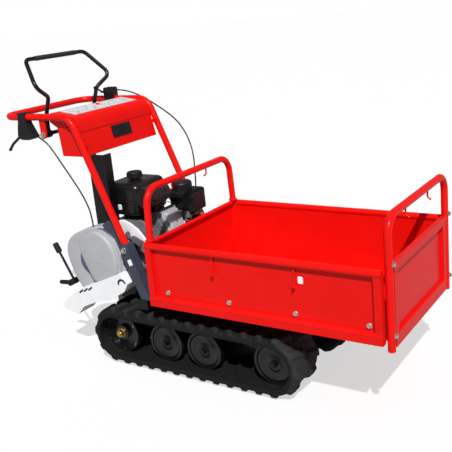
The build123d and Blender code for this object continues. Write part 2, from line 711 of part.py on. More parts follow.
def lever_clamp_right():
    """The brake lever's housing, clamped under the right grip tube."""
    y = -HANDLE_HALF
    outline = [(-716, 992), (-676, 992), (-674, 950), (-652, 912), (-640, 896), (-668, 886), (-712, 886), (-730, 900),
               (-722, 940), (-716, 960)]
    body = rounded_slab(outline, (y - 17, y + 17), 5)
    body -= rod((-760, y, HANDLE_TOP), (-600, y, HANDLE_TOP), TUBE_R + SEAT)
    body -= block((-760, -676), (y - 7, y + 7), (880, 934))
    px, pz = BRAKE_PIVOT
    return body + rod((px, y - 12, pz), (px, y + 12, pz), 4)


def brake_lever():
    """The cranked steering brake lever on its pin."""
    y = -HANDLE_HALF
    px, pz = BRAKE_PIVOT
    points = [(px + 2, y, pz - 8), (px - 40, y, pz - 22), (px - 84, y, pz - 50), (px - 107, y, pz - 74)]
    body = pipe(points, [26, 40], 5.5)
    body += rod((px, y - 6.5, pz), (px, y + 6.5, pz), 11)
    body += Pos(px - 107, y, pz - 74) * Sphere(6.5)
    return body - rod((px, y - 20, pz), (px, y + 20, pz), 4 + RUN)


def lever_clamp_left():
    """The throttle control's base, clamped over the left grip tube."""
    y = HANDLE_HALF
    body = block((-678, -624), (y - 16, y + 16), (952, 1024))
    body = fillet(body.edges().filter_by(Axis.Y), 8)
    body -= rod((-700, y, HANDLE_TOP), (-600, y, HANDLE_TOP), TUBE_R + SEAT)
    body -= block((-690, -640), (y - 6, y + 6), (992, 1030))
    px, pz = THROTTLE_PIVOT
    return body + rod((px, y - 12, pz), (px, y + 12, pz), 3)


def throttle_lever():
    """The thumb lever of the throttle, with an eye on its pin."""
    y = HANDLE_HALF
    px, pz = THROTTLE_PIVOT
    bend = (px - 34, y, pz - 3)
    tip = (px - 72, y, pz + 16)
    body = rod((px, y - 5.5, pz), (px, y + 5.5, pz), 9)
    body += rod((px, y, pz), bend, 4)
    body += rod((bend[0], y - 4.5, bend[2]), (bend[0], y + 4.5, bend[2]), 5)
    body += rod(bend, tip, 4)
    body += rod((tip[0], y - 6, tip[2]), (tip[0], y + 6, tip[2]), 7)
    return body - rod((px, y - 20, pz), (px, y + 20, pz), 3 + RUN)


def gear_lever():
    """The long shift rod on its pivot eye."""
    x, z = GEAR_PIVOT
    body = rod((x, GEAR_Y - 8, z), (x, GEAR_Y + 12, z), 13)
    body += rod((x - 6, GEAR_Y, z + 8), (x - 62, GEAR_Y, z + 116), 5)
    return body - rod((x, GEAR_Y - 40, z), (x, GEAR_Y + 40, z), 6 + RUN)


def gear_knob():
    """The long black knob on the shift rod."""
    x, z = GEAR_PIVOT
    start = Vector(x - 62, GEAR_Y, z + 116)
    along = Vector(-56, 0, 108).normalized()
    knob = rod(tuple(start), tuple(start + along * 44), 12)
    return fillet(knob.edges(), 5)


def speed_lever():
    """The short horizontal range lever beside the shift rod."""
    x, z = GEAR_PIVOT
    body = rod((x, GEAR_Y - 30, z), (x, GEAR_Y - 10, z), 13)
    grip = rod((x - 8, GEAR_Y - 20, z - 2), (x - 62, GEAR_Y - 20, z - 6), 9)
    grip = fillet(grip.edges().sort_by(Axis.X)[0], 4)
    body += grip
    return body - rod((x, GEAR_Y - 40, z), (x, GEAR_Y + 40, z), 6 + RUN)


def choke_lever():
    """The small orange choke lever beside the air cleaner."""
    z = CARB_TOP - 22
    pivot = rod((-176, 106 + SEAT, z), (-176, 112, z), 7)
    arm = block((-176, -130), (106 + SEAT, 110), (z - 4, z + 4))
    return join([pivot, arm])


# ---------------------------------------------------------------- cables
CABLE_R = 3.0
BRAKE_CABLE = [(-636, -232, 897), (-600, -232, 881), (-566, -230, 842), (-534, -226, 790), (-500, -219, 733),
               (-466, -212, 672), (-448, -202, 612), (-448, -194, 562), (-452, -190, 531.4)]
THROTTLE_CABLE = [(-623, 232, 1012), (-584, 238, 1010), (-530, 250, 994), (-474, 255, 968), (-418, 255, 938),
                  (-362, 250, 908), (-312, 240, 878), (-270, 226, 842), (-234, 209, 798), (-208, 190, 748),
                  (-196, 173, 690), (-190, 160, 632), (-190, 153, 582), (-192, 152, 539.4)]


def bend_radii(points):
    """A tangent arc at every inner point: 0.45 of the shorter run, over the tangent of half the turn."""
    radii = []
    for before, here, after in zip(points, points[1:], points[2:]):
        first = Vector(*here) - Vector(*before)
        second = Vector(*after) - Vector(*here)
        turn = radians(first.get_angle(second))
        radii.append(0.45 * min(first.length, second.length) / tan(turn / 2))
    return radii


def cable(name, points):
    """A control cable as a round tube along its route."""
    radii = bend_radii(points)
    print(name, "bend radii", [round(radius, 1) for radius in radii])
    path = FilletPolyline(*points, radius=radii)
    body = sweep(Plane(origin=path @ 0, z_dir=path % 0) * Circle(CABLE_R), path)
    print(name, "length", round(path.length, 1), "volume", round(body.volume / (pi * CABLE_R**2 * path.length), 4))
    return body


# ---------------------------------------------------------------- dump bed
RAIL = 25.0
BED_RAIL_Y = (75.0, 100.0)


def bed_floor():
    """The floor sheet on two long channels, with cross bearers and the hinge lugs."""
    floor_z = (BED_BOTTOM + 6, BED_BOTTOM + 9)
    pieces = [block((BED_REAR + SHEET, BED_FRONT), (-BED_HALF + RAIL, BED_HALF - RAIL), floor_z)]
    for side in SIDES.values():
        y = (side * BED_RAIL_Y[0], side * BED_RAIL_Y[1])
        pieces.append(block((-95, 760), y, (RAIL_TOP + SEAT, BED_BOTTOM + 7)))
        lug_y = (side * (BED_RAIL_Y[0] - 1), side * (BED_RAIL_Y[0] + 9))
        pieces.append(block((HINGE[0] - 16, HINGE[0] + 16), lug_y, (HINGE[1], RAIL_TOP + 8)))
        pieces.append(rod((HINGE[0], lug_y[0], HINGE[1]), (HINGE[0], lug_y[1], HINGE[1]), 16))
    for x in (-60.0, 150.0, 360.0, 620.0, 740.0):
        pieces.append(block((x - 14, x + 14), (-BED_HALF + RAIL, BED_HALF - RAIL), (BED_BOTTOM - 12, BED_BOTTOM + 7)))
    body = join(pieces)
    return body - rod((HINGE[0], -120, HINGE[1]), (HINGE[0], 120, HINGE[1]), PIN_R + 2 * RUN)


PANEL_SHEET_Y = 18.0     # how far the sheet is set in from the frame's outer face
PANEL_HOOKS = (178.0, 492.0)
PANEL_BOLTS = (-30.0, 231.0, 486.0, 739.0)


def side_panel():
    """The right side: a welded frame with a recessed sheet between its rails and posts."""
    y_out = -BED_HALF
    y_in = y_out + RAIL
    rear = BED_REAR
    pieces = [block((rear, BED_FRONT), (y_out, y_in), (BED_BOTTOM, BED_BOTTOM + 40))]
    pieces[0] = chamfer(pieces[0].edges().filter_by(Axis.X).group_by(Axis.Y)[0].sort_by(Axis.Z)[-1], 10)
    top = BED_TOP - 14
    pieces.append(rod((rear, y_out + RAIL / 2, top), (BED_FRONT, y_out + RAIL / 2, top), RAIL / 2))
    for x in (rear, BED_FRONT - RAIL):
        pieces.append(block((x, x + RAIL), (y_out + 3, y_in), (BED_BOTTOM + 2, top)))
    pieces.append(block((rear + 1, BED_FRONT - 1), (y_out + PANEL_SHEET_Y, y_out + PANEL_SHEET_Y + SHEET),
                        (BED_BOTTOM + 2, top)))
    for x in PANEL_HOOKS:
        y = y_out + PANEL_SHEET_Y - 6
        points = [(x, y, top - 8), (x, y, top - 80), (x, y - 11, top - 80), (x, y - 11, top - 60)]
        pieces.append(pipe(points, [5, 5], 3))
    return join(pieces)


def rear_panel():
    """The rear wall of the bed between the side panels, with a rolled top edge."""
    half = BED_HALF - RAIL
    wall = block((BED_REAR, BED_REAR + SHEET), (-half, half), (BED_BOTTOM, BED_TOP - 8))
    lip = rod((BED_REAR + 8, -half, BED_TOP - 9), (BED_REAR + 8, half, BED_TOP - 9), 8)
    return wall + lip


GUARD_R = 12.5
GUARD_WALL = 2.0
REAR_GUARD = (-94.0, 268.0, 724.0)
GATE_HALF = 246.0
FRONT_GUARD = (BED_FRONT + GUARD_R + SEAT, 268.0, 690.0)


def hook(x, y, z, sign):
    """A small rope hook welded under a guard tube: a short bent bar."""
    points = [(x, y, z - GUARD_R + 2), (x, y, z - GUARD_R - 22), (x + sign * 12, y, z - GUARD_R - 30)]
    return pipe(points, [7], 3)


def rear_guard():
    """The tube arch over the rear wall, with two rope hooks."""
    x, half, top = REAR_GUARD
    low = BED_TOP + SEAT
    points = [(x, -half - 10, low), (x, -half, top), (x, half, top), (x, half + 10, low)]
    body = pipe(points, [62, 62], GUARD_R, GUARD_WALL)
    for y in (-117.0, 107.0):
        body += hook(x, y, top, -1)
    for side in SIDES.values():
        body += rod((x, side * (half + 10), low), (x, side * (half + 10), low + 3), 17)
    return body


def front_guard():
    """The tube arch at the front with its posts, two rope hooks and the hinge rail."""
    x, half, top = FRONT_GUARD
    points = [(x, -half, 265), (x, -half, top), (x, half, top), (x, half, 265)]
    body = pipe(points, [58, 58], GUARD_R, GUARD_WALL)
    for y in (-115.0, 91.0):
        body += hook(x, y, top, 1)
    gate_x, gate_z = GATE_AXIS
    for side in SIDES.values():
        ends = [(gate_x, side * y, gate_z) for y in (GATE_HALF + 1, half - GUARD_R + 1.5)]
        body += ring(*ends, 10, 6 + RUN)
    return body


def front_gate():
    """The swinging gate: a sheet with a top channel, a kick rail and two pivot stubs."""
    x, z = GATE_AXIS
    half = GATE_HALF
    pieces = [block((x - 7, x - 4), (-half, half), (272, z))]
    pieces.append(block((x - 7, x + 9), (-half, half), (z - 14, z + 14)))
    pieces.append(block((x - 7, x + 7), (-half, half), (270, 312)))
    for side in SIDES.values():
        pieces.append(block((x - 7, x + 7), (side * (half - 20), side * half), (272, z)))
        pieces.append(rod((x, side * (half - 1), z), (x, side * (half + 9), z), 6))
    return join(pieces)


# ---------------------------------------------------------------- fasteners
def bolt_head(start, along, across, length):
    """A hexagonal head with its washer, standing on a face."""
    base = Vector(*start)
    run = Vector(*along)
    washer_top = base + run * 1.5
    washer = rod(tuple(base), tuple(washer_top), across * 0.68)
    return washer + hexagon(tuple(washer_top), tuple(washer_top + run * length), across)


def bed_bolts():
    """The bolts along both side panels and the four on the front posts."""
    heads = []
    sheet = BED_HALF - PANEL_SHEET_Y
    for side in SIDES.values():
        for x in PANEL_BOLTS:
            heads.append(bolt_head((x, side * sheet, BED_BOTTOM + 55), (0, side, 0), 13, 6))
        for z in (318.0, 548.0):
            heads.append(bolt_head((FRONT_GUARD[0] + GUARD_R + SEAT, side * FRONT_GUARD[1], z), (1, 0, 0), 13, 6))
    return heads


def pins_and_bolts():
    """The tipping hinge's pin, the bolts through the handle brackets and the ends of the cross tube."""
    x, z = HINGE
    pieces = [rod((x, -96, z), (x, 96, z), PIN_R)]
    for side in SIDES.values():
        bracket_z = BRACKET_TOP - 23
        pieces.append(bolt_head((upright_x(bracket_z), side * (HANDLE_HALF + 20), bracket_z), (0, side, 0), 17, 8))
        pieces.append(bolt_head((CLUTCH_AXIS[0], side * (HANDLE_HALF + 3), CLUTCH_AXIS[1]), (0, side, 0), 17, 7))
        for foot_x in (CRANK[0] - 68, CRANK[0] + 68):
            pieces.append(bolt_head((foot_x, side * (ENGINE_HALF + 12), ENGINE_FLOOR + 12), (0, 0, 1), 13, 6))
    return pieces


# ---------------------------------------------------------------- write every node
for side_name, sign in SIDES.items():
    save(f"rubber_track_{side_name}", mirrored(track(), sign))
    save(f"drive_sprocket_{side_name}", mirrored(sprocket(), sign))
    save(f"hub_nuts_{side_name}", *[mirrored(piece, sign) for piece in hub_nuts()])
    save(f"idler_wheel_{side_name}", mirrored(spool(IDLER_X, WHEEL_Z, WHEEL_RIM, 24.0, AXLE_R + RUN), sign))
    for roller, x in zip(("rear", "front"), ROLLER_X):
        save(f"{roller}_roller_{side_name}", mirrored(spool(x, ROLLER_Z, ROLLER_R, 20.0, AXLE_R + RUN), sign))
    save(f"track_frame_{side_name}", mirrored(track_frame(), sign))
    save(f"side_panel_{side_name}", mirrored(side_panel(), sign))

save("chassis_frame", chassis_frame())
save("gearbox", gearbox())
save("engine_base", engine_base())
save("engine_block", engine_block())
save("valve_cover", valve_cover())
save("fuel_tank", fuel_tank())
save("fuel_cap", fuel_cap())
save("muffler", muffler())
save("muffler_guard", muffler_guard())
save("air_cleaner", air_cleaner())
save("carburettor", carburettor())
save("choke_lever", choke_lever())
save("recoil_cover", recoil_cover())
save("recoil_grip", recoil_grip())
save("engine_pulley", pulley(CRANK, ENGINE_PULLEY_R, 12.5, (-168, -ENGINE_HALF - 1), 10))
save("gearbox_pulley", pulley(GEAR_INPUT, GEAR_PULLEY_R, 10.0, (-190, -112), 12))
save("drive_belt", drive_belt())
save("tension_arm", tension_arm())
save("belt_cover", belt_cover())
save("rear_fender", rear_fender())
save("handle_frame", handle_frame())
save("handle_brackets", handle_bracket(), mirrored(handle_bracket(), 1))
save("rear_column", rear_column())
save("control_box", control_box())
save("label_plate", label_plate())
save("front_plate", front_plate())
save("cross_tube", cross_tube())
save("clutch_loop", clutch_loop())
save("clutch_sleeve", clutch_sleeve())
save("lever_clamps", lever_clamp_right(), lever_clamp_left())
save("brake_lever", brake_lever())
save("throttle_lever", throttle_lever())
save("gear_lever", gear_lever())
save("gear_knob", gear_knob())
save("speed_lever", speed_lever())
save("brake_cable", cable("brake_cable", BRAKE_CABLE))
save("throttle_cable", cable("throttle_cable", THROTTLE_CABLE))
save("bed_floor", bed_floor())
save("rear_panel", rear_panel())
save("rear_guard", rear_guard())
save("front_guard", front_guard())
save("front_gate", front_gate())
save("bed_bolts", *bed_bolts())
save("pins_and_bolts", *pins_and_bolts())
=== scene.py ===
"""Looks of the tracked power wheelbarrow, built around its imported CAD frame. Metres, Z up."""
import json

import bpy
import numpy as np
from mathutils import Matrix, Vector

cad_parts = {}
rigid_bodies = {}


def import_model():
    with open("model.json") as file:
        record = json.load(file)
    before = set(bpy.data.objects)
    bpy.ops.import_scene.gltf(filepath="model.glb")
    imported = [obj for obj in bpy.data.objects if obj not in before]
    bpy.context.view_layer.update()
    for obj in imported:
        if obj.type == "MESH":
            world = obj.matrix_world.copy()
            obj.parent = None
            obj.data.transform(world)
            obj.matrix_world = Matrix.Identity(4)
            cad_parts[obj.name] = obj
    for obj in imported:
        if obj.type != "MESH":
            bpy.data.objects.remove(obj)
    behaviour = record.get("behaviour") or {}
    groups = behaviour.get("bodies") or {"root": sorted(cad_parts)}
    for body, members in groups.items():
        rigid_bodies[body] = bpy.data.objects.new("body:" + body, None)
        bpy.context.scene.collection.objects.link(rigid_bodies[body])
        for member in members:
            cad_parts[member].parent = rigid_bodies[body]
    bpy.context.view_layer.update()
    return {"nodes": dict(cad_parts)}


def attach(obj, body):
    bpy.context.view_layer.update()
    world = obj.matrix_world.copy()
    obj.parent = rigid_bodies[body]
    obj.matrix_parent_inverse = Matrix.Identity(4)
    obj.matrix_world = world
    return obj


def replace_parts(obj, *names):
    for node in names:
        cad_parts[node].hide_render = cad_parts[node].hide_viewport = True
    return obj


for leftover in list(bpy.data.objects):
    bpy.data.objects.remove(leftover)
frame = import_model()


# ------------------------------------------------------------------ camera, light and floor
# A studio cove: a plain white floor, one high key light from the gate end that throws short, firm shadows
# under the bed's rails, and an even white surround that fills the dark side.
def linear(code):
    """An sRGB hex colour as linear RGBA: v/12.92 below 0.04045, else ((v + 0.055)/1.055) to the power 2.4."""
    v = np.array([int(code[i:i + 2], 16) for i in (0, 2, 4)]) / 255
    v = np.where(v <= 0.04045, v / 12.92, ((v + 0.055) / 1.055) ** 2.4)
    return (*v, 1.0)


def add(tree, kind, inputs={}, **settings):
    """One shader node: settings are its own choices, inputs are values or the sockets linked into them."""
    made = tree.nodes.new("ShaderNode" + kind)
    for name, value in settings.items():
        setattr(made, name, value)
    for name, value in inputs.items():
        if isinstance(value, bpy.types.NodeSocket):
            tree.links.new(value, made.inputs[name])
        else:
            made.inputs[name].default_value = value
    return made


def new_finish(name, **values):
    """An empty material: returns it with its tree, its surface shader and the Object coordinates."""
    finish = bpy.data.materials.new(name)
    finish.use_nodes = True
    tree = finish.node_tree
    shader = tree.nodes["Principled BSDF"]
    for socket, value in values.items():
        shader.inputs[socket.replace("_", " ")].default_value = value
    place = add(tree, "TexCoord").outputs["Object"]
    return finish, tree, shader, place


def wire(tree, shader, **sources):
    """Links textures into the surface shader: each socket's name, with _ for a space, and what feeds it."""
    for name, source in sources.items():
        tree.links.new(source, shader.inputs[name.replace("_", " ")])


AZIMUTH, ELEVATION, ROLL = 0.59573, 0.26707, np.radians(-5.56)
CAMERA_PLACE = (1.5858, -2.2258, 1.3365)
level_reach = np.cos(ELEVATION)
view_back = Vector((np.sin(AZIMUTH) * level_reach, -np.cos(AZIMUTH) * level_reach, np.sin(ELEVATION)))
level_right = (-view_back).cross(Vector((0, 0, 1))).normalized()
level_up = level_right.cross(-view_back)
right = np.cos(ROLL) * level_right + np.sin(ROLL) * level_up
up = np.cos(ROLL) * level_up - np.sin(ROLL) * level_right
lens = bpy.data.cameras.new("camera")
lens.lens = 59.41
lens.sensor_width = 36.0
lens.shift_x = -0.0091
lens.shift_y = -0.0448
lens.clip_start = 0.05
camera = bpy.data.objects.new("camera", lens)
turn = Matrix((right, up, view_back)).transposed()
camera.matrix_world = Matrix.Translation(CAMERA_PLACE) @ turn.to_4x4()
bpy.context.scene.collection.objects.link(camera)
bpy.context.scene.camera = camera
bpy.context.scene.view_settings.view_transform = "Standard"

surround = bpy.data.worlds.new("surround")
bpy.context.scene.world = surround
surround.use_nodes = True
sky = surround.node_tree.nodes["Background"]
sky.inputs["Color"].default_value = (1, 1, 1, 1)
ray = add(surround.node_tree, "LightPath")
glow = add(surround.node_tree, "MapRange", {"Value": ray.outputs["Is Camera Ray"], "To Min": 0.22,
                                            "To Max": 1.0})
surround.node_tree.links.new(glow.outputs[0], sky.inputs["Strength"])
key = bpy.data.lights.new("key", "SUN")
key.energy = 4.3
key.angle = np.radians(1.2)
key_holder = bpy.data.objects.new("key", key)
key_holder.rotation_mode = "QUATERNION"
key_holder.rotation_quaternion = Vector((0.75, -1.0, 1.45)).to_track_quat("Z", "Y")
bpy.context.scene.collection.objects.link(key_holder)

floor_white, tree, shader, place = new_finish("matt white floor paint", Roughness=0.9)
grain = add(tree, "TexNoise", {"Vector": place, "Scale": 40.0, "Detail": 3.0})
tone = add(tree, "Mix", {0: grain.outputs[0], 6: linear("e6e6e6"), 7: linear("ececec")}, data_type="RGBA")
wire(tree, shader, Base_Color=tone.outputs[2])
# Mostly see-through: the white surround shows in it, and the shadows on it stay pale.
shader.inputs["Alpha"].default_value = 0.38
floor_mesh = bpy.data.meshes.new("floor")
reach, drop = 40, -0.001
corners = [(-reach, -reach, drop), (reach, -reach, drop), (reach, reach, drop), (-reach, reach, drop)]
floor_mesh.from_pydata(corners, [], [(0, 1, 2, 3)])
floor = bpy.data.objects.new("floor", floor_mesh)
floor_mesh.materials.append(floor_white)
bpy.context.scene.collection.objects.link(floor)


# ------------------------------------------------------------------ control cables
# Two Bowden cables in black PVC sheaths: one from the steering brake's housing down to the belt cover, one
# from the throttle block in a wide hanging arc to the carburettor.
sheath, tree, shader, place = new_finish("extruded black PVC sheath", Roughness=0.38)
# Extruded PVC has a slight lengthwise shimmer and picks up dust: 1.5 mm mottling.
mottle = add(tree, "TexNoise", {"Vector": place, "Scale": 650.0, "Detail": 3.0})
tone = add(tree, "Mix", {0: mottle.outputs[0], 6: linear("121214"), 7: linear("2a2a2e")}, data_type="RGBA")
rough = add(tree, "MapRange", {"Value": mottle.outputs[0], "To Min": 0.28, "To Max": 0.55})
wire(tree, shader, Base_Color=tone.outputs[2], Roughness=rough.outputs[0])


def cable(name, points, node):
    """A sheathed cable: a round tube carried along the smooth spline of its route's points."""
    curve = bpy.data.curves.new(name, "CURVE")
    curve.dimensions = "3D"
    curve.bevel_depth = 0.003
    curve.bevel_resolution = 4
    curve.resolution_u = 10
    curve.use_fill_caps = True
    route = curve.splines.new("NURBS")
    route.points.add(len(points) - 1)
    route.points.foreach_set("co", np.c_[np.array(points), np.ones(len(points))].ravel())
    route.order_u = 3
    route.use_endpoint_u = True
    piece = bpy.data.objects.new(name, curve)
    curve.materials.append(sheath)
    bpy.context.scene.collection.objects.link(piece)
    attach(piece, "chassis")
    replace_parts(piece, node)
    return piece


BRAKE_ROUTE = [(-0.636, -0.232, 0.897), (-0.600, -0.232, 0.881), (-0.566, -0.230, 0.842),
               (-0.534, -0.226, 0.790), (-0.500, -0.219, 0.733), (-0.466, -0.212, 0.672),
               (-0.448, -0.202, 0.612), (-0.448, -0.194, 0.562), (-0.452, -0.190, 0.5314)]
THROTTLE_ROUTE = [(-0.623, 0.232, 1.012), (-0.584, 0.238, 1.010), (-0.530, 0.250, 0.994),
                  (-0.474, 0.255, 0.968), (-0.418, 0.255, 0.938), (-0.362, 0.250, 0.908),
                  (-0.312, 0.240, 0.878), (-0.270, 0.226, 0.842), (-0.234, 0.209, 0.798),
                  (-0.208, 0.190, 0.748), (-0.196, 0.173, 0.690), (-0.190, 0.160, 0.632),
                  (-0.190, 0.153, 0.582), (-0.192, 0.152, 0.5394)]
cable("brake_cable_sheath", BRAKE_ROUTE, "brake_cable")
cable("throttle_cable_sheath", THROTTLE_ROUTE, "throttle_cable")


# ------------------------------------------------------------------ red steelwork
# The dump bed, guards, gate, handle tube and control box: welded mild steel, phosphated and powder coated in
# one gloss red. The coat shows a fine orange peel, and a little dust sits on it.
def dress(names, finish):
    """Gives CAD nodes one finish."""
    for name in names:
        for held in frame["nodes"][name].material_slots:
            held.material = finish


red_coat, tree, shader, place = new_finish("gloss red powder coat", Coat_Weight=0.06, Coat_Roughness=0.12)
shader.inputs["Specular IOR Level"].default_value = 0.12
# Powder coat's orange peel has 2 to 3 mm cells; drawn at 4 mm so that it shows.
peel = add(tree, "TexNoise", {"Vector": place, "Scale": 260.0, "Detail": 2.0, "Roughness": 0.4})
cloud = add(tree, "TexNoise", {"Vector": place, "Scale": 7.0, "Detail": 3.0})
dust = add(tree, "TexNoise", {"Vector": place, "Scale": 90.0, "Detail": 5.0, "Roughness": 0.7})
fleck = add(tree, "MapRange", {"Value": dust.outputs[0], "From Min": 0.62, "From Max": 0.8, "To Max": 0.25})
tone = add(tree, "Mix", {0: cloud.outputs[0], 6: linear("d80d0a"), 7: linear("e6150e")}, data_type="RGBA")
worn = add(tree, "Mix", {0: fleck.outputs[0], 6: tone.outputs[2], 7: linear("c8402f")}, data_type="RGBA")
rough = add(tree, "MapRange", {"Value": cloud.outputs[0], "To Min": 0.26, "To Max": 0.42})
bump = add(tree, "Bump", {"Height": peel.outputs[0], "Strength": 0.12, "Distance": 0.0004})
wire(tree, shader, Base_Color=worn.outputs[2], Roughness=rough.outputs[0], Normal=bump.outputs[0])
dress(["bed_floor", "side_panel_right", "side_panel_left", "rear_panel", "rear_guard", "front_guard",
       "front_gate", "handle_frame", "control_box"], red_coat)


def surface(name, grid, body, finish, closed=(False, False)):
    """A grid of points (rows, columns, 3) as a smooth surface: each cell is a face, and closed directions wrap
    round. If the faces enclose a negative volume, sum of a.(b x c)/6, they are turned round."""
    grid = np.asarray(grid, float)
    rows, columns = grid.shape[:2]
    i, j = np.meshgrid(np.arange(rows - (not closed[0])), np.arange(columns - (not closed[1])), indexing="ij")
    here, far = i * columns, (i + 1) % rows * columns
    faces = np.stack([here + j, here + (j + 1) % columns, far + (j + 1) % columns, far + j], -1).reshape(-1, 4)
    points = grid.reshape(-1, 3)
    middle = points.mean(0)
    a, b, c, d = (points[faces[:, k]] - middle for k in range(4))
    if (a * (np.cross(b, c) + np.cross(c, d))).sum() < 0:
        faces = faces[:, ::-1]
    mesh = bpy.data.meshes.new(name)
    mesh.from_pydata(points.tolist(), [], faces.tolist())
    mesh.validate()
    mesh.polygons.foreach_set("use_smooth", np.ones(len(mesh.polygons), bool))
    mesh.materials.append(finish)
    piece = bpy.data.objects.new(name, mesh)
    bpy.context.scene.collection.objects.link(piece)
    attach(piece, body)
    return piece


def turned(name, profile, base, along, body, finish, sides=40, lobes=0, depth=0.0):
    """A turned shape: profile (distance, radius) pairs revolved about a line from base along a direction,
    p = base + s*along + r*(1 + depth*cos(lobes*t))*(cos t*u + sin t*v)."""
    along = np.array(Vector(along).normalized())
    side = np.cross(along, (0.31, 0.17, 0.93))
    side /= np.linalg.norm(side)
    other = np.cross(along, side)
    angle = np.linspace(0, 2 * np.pi, sides, endpoint=False)
    s, r = np.array(profile, float).T
    wave = r[:, None] * (1 + depth * np.cos(lobes * angle))
    grid = (np.array(base) + s[:, None, None] * along
            + wave[..., None] * (np.cos(angle)[:, None] * side + np.sin(angle)[:, None] * other))
    return surface(name, grid, body, finish, (False, True))


# Fillet welds where the rear guard's feet stand on the bed: rings of overlapping ripples.
bead = [(0.0, 0.0165), (0.0006, 0.0172), (0.0022, 0.0160), (0.0040, 0.0132), (0.0044, 0.0124)]
for side, letter in ((-1, "r"), (1, "l")):
    turned(f"guard_weld_{letter}", bead, (-0.094, side * 0.278, 0.5395), (0, 0, 1), "bed",
           red_coat, sides=66, lobes=22, depth=0.02)


# The control box's top sheet laps over its face: a 2 mm lip that follows the fold, with a red screw on top.
lap = np.array([(-431.4, 912.0), (-434.6, 927.0), (-437.2, 940.0), (-439.6, 947.0), (-443.5, 955.5),
                (-448.2, 963.4), (-454.0, 968.0), (-463.0, 969.9), (-474.0, 971.4)]) / 1000
LAP_UNDER, LAP_OVER = 0.0003, 0.0022
ahead = np.gradient(lap, axis=0)
out = np.stack([ahead[:, 1], -ahead[:, 0]], 1) / np.linalg.norm(ahead, axis=1)[:, None]
section = np.concatenate([lap + LAP_OVER * out, (lap + LAP_UNDER * out)[::-1]])
wide = np.array([-0.2176, -0.2174, -0.216, -0.1, 0.0, 0.1, 0.216, 0.2174, 0.2176])
shape = (len(wide), len(section))
grid = np.stack([np.broadcast_to(section[:, 0], shape), np.broadcast_to(wide[:, None], shape),
                 np.broadcast_to(section[:, 1], shape)], -1)
lip = surface("box_top_lap", grid, "chassis", red_coat, (False, True))
split = lip.modifiers.new("edges", "EDGE_SPLIT")
split.split_angle = np.radians(40)
turned("box_screw", [(0.0, 0.0085), (0.003, 0.0085), (0.0048, 0.0070), (0.0054, 0.0040), (0.0055, 0.0001)],
       (-0.537, 0.021, 0.9816), (0.14, 0, 0.99), "chassis", red_coat, sides=28)

# Coach bolts hold the floor sheet down: low domed heads coated with the bed.
dome = [(0.0, 0.0085), (0.0016, 0.0080), (0.0034, 0.0058), (0.0044, 0.0028), (0.0046, 0.0001)]
for row, y in enumerate((0.262, -0.262)):
    for column, x in enumerate((0.06, 0.28, 0.50, 0.70)):
        turned(f"floor_bolt_{4 * row + column}", dome, (x, y, 0.3032), (0, 0, 1), "bed", red_coat,
               sides=24)


# ------------------------------------------------------------------ blank stickers
# Small vinyl stickers, die cut with round corners and pressed on: one beside the panel's rope hook, one on the
# handle bracket and one under the tank. They carry plain blocks only.
vinyl, tree, shader, place = new_finish("cast white vinyl", Roughness=0.35)
fibre = add(tree, "TexNoise", {"Vector": place, "Scale": 500.0, "Detail": 4.0})
patch = add(tree, "TexVoronoi", {"Vector": place, "Scale": 120.0}, distance="CHEBYCHEV")
mark = add(tree, "MapRange", {"Value": patch.outputs["Distance"], "From Min": 0.16, "From Max": 0.2,
                              "To Min": 0.5, "To Max": 0.0})
tone = add(tree, "Mix", {0: fibre.outputs[0], 6: linear("e6e8ea"), 7: linear("f7f7f5")}, data_type="RGBA")
print_tone = add(tree, "Mix", {0: mark.outputs[0], 6: tone.outputs[2], 7: linear("8b929a")}, data_type="RGBA")
wire(tree, shader, Base_Color=print_tone.outputs[2])


def sticker(name, middle, across, rise, body):
    """A flat rounded patch: p = m + f(a)*across + f(b)*rise, where the superellipse |a|^7 + |b|^7 = 1 gives
    the edge."""
    ring = np.linspace(0, 2 * np.pi, 48, endpoint=False)
    a = np.sign(np.cos(ring)) * np.abs(np.cos(ring)) ** (2 / 7)
    b = np.sign(np.sin(ring)) * np.abs(np.sin(ring)) ** (2 / 7)
    shrink = np.array([1e-3, 0.5, 0.97, 1.0, 1.0])[:, None]
    out = np.cross(across, rise)
    out /= np.linalg.norm(out)
    lift = np.array([0.00035, 0.00035, 0.00035, 0.00025, 0.0])[:, None, None] * out
    grid = (np.array(middle) + (shrink * a)[..., None] * np.array(across)
            + (shrink * b)[..., None] * np.array(rise) + lift)
    return surface(name, grid, body, vinyl, (False, True))


sticker("panel_sticker", (0.511, -0.28755, 0.467), (0.0095, 0, 0), (0, 0, 0.012), "bed")
sticker("tank_sticker", (-0.386, -0.0965, 0.590), (0.012, 0, 0.001), (-0.001, 0, 0.011), "chassis")
across_bracket, down_bracket = np.array([0.927, 0, 0.375]), np.array([0.375, 0, -0.927])
sticker("bracket_sticker", (-0.228, -0.2527, 0.428), 0.0095 * across_bracket, -0.012 * down_bracket, "chassis")


# ------------------------------------------------------------------ rubber tracks
# Endless moulded rubber belts on steel cores, carbon black with a dull bloom. The lug tops are lighter grey,
# partly scuffed by the ground and partly a painted highlight, and the sides keep the mould's fine grain.
SPROCKET_X, IDLER_X, WHEEL_Z = -0.335, 0.355, 0.11694
TRACK_PITCH, TRACK_LINKS, NEUTRAL_R = 0.060, 32, 0.08594
SCUFF_AND_HIGHLIGHT_MIDDLE, SCUFF_AND_HIGHLIGHT_HALF = -0.010, 0.345
track_rubber, tree, shader, place = new_finish("moulded carbon black track rubber", Roughness=0.7)
shader.inputs["Specular IOR Level"].default_value = 0.2
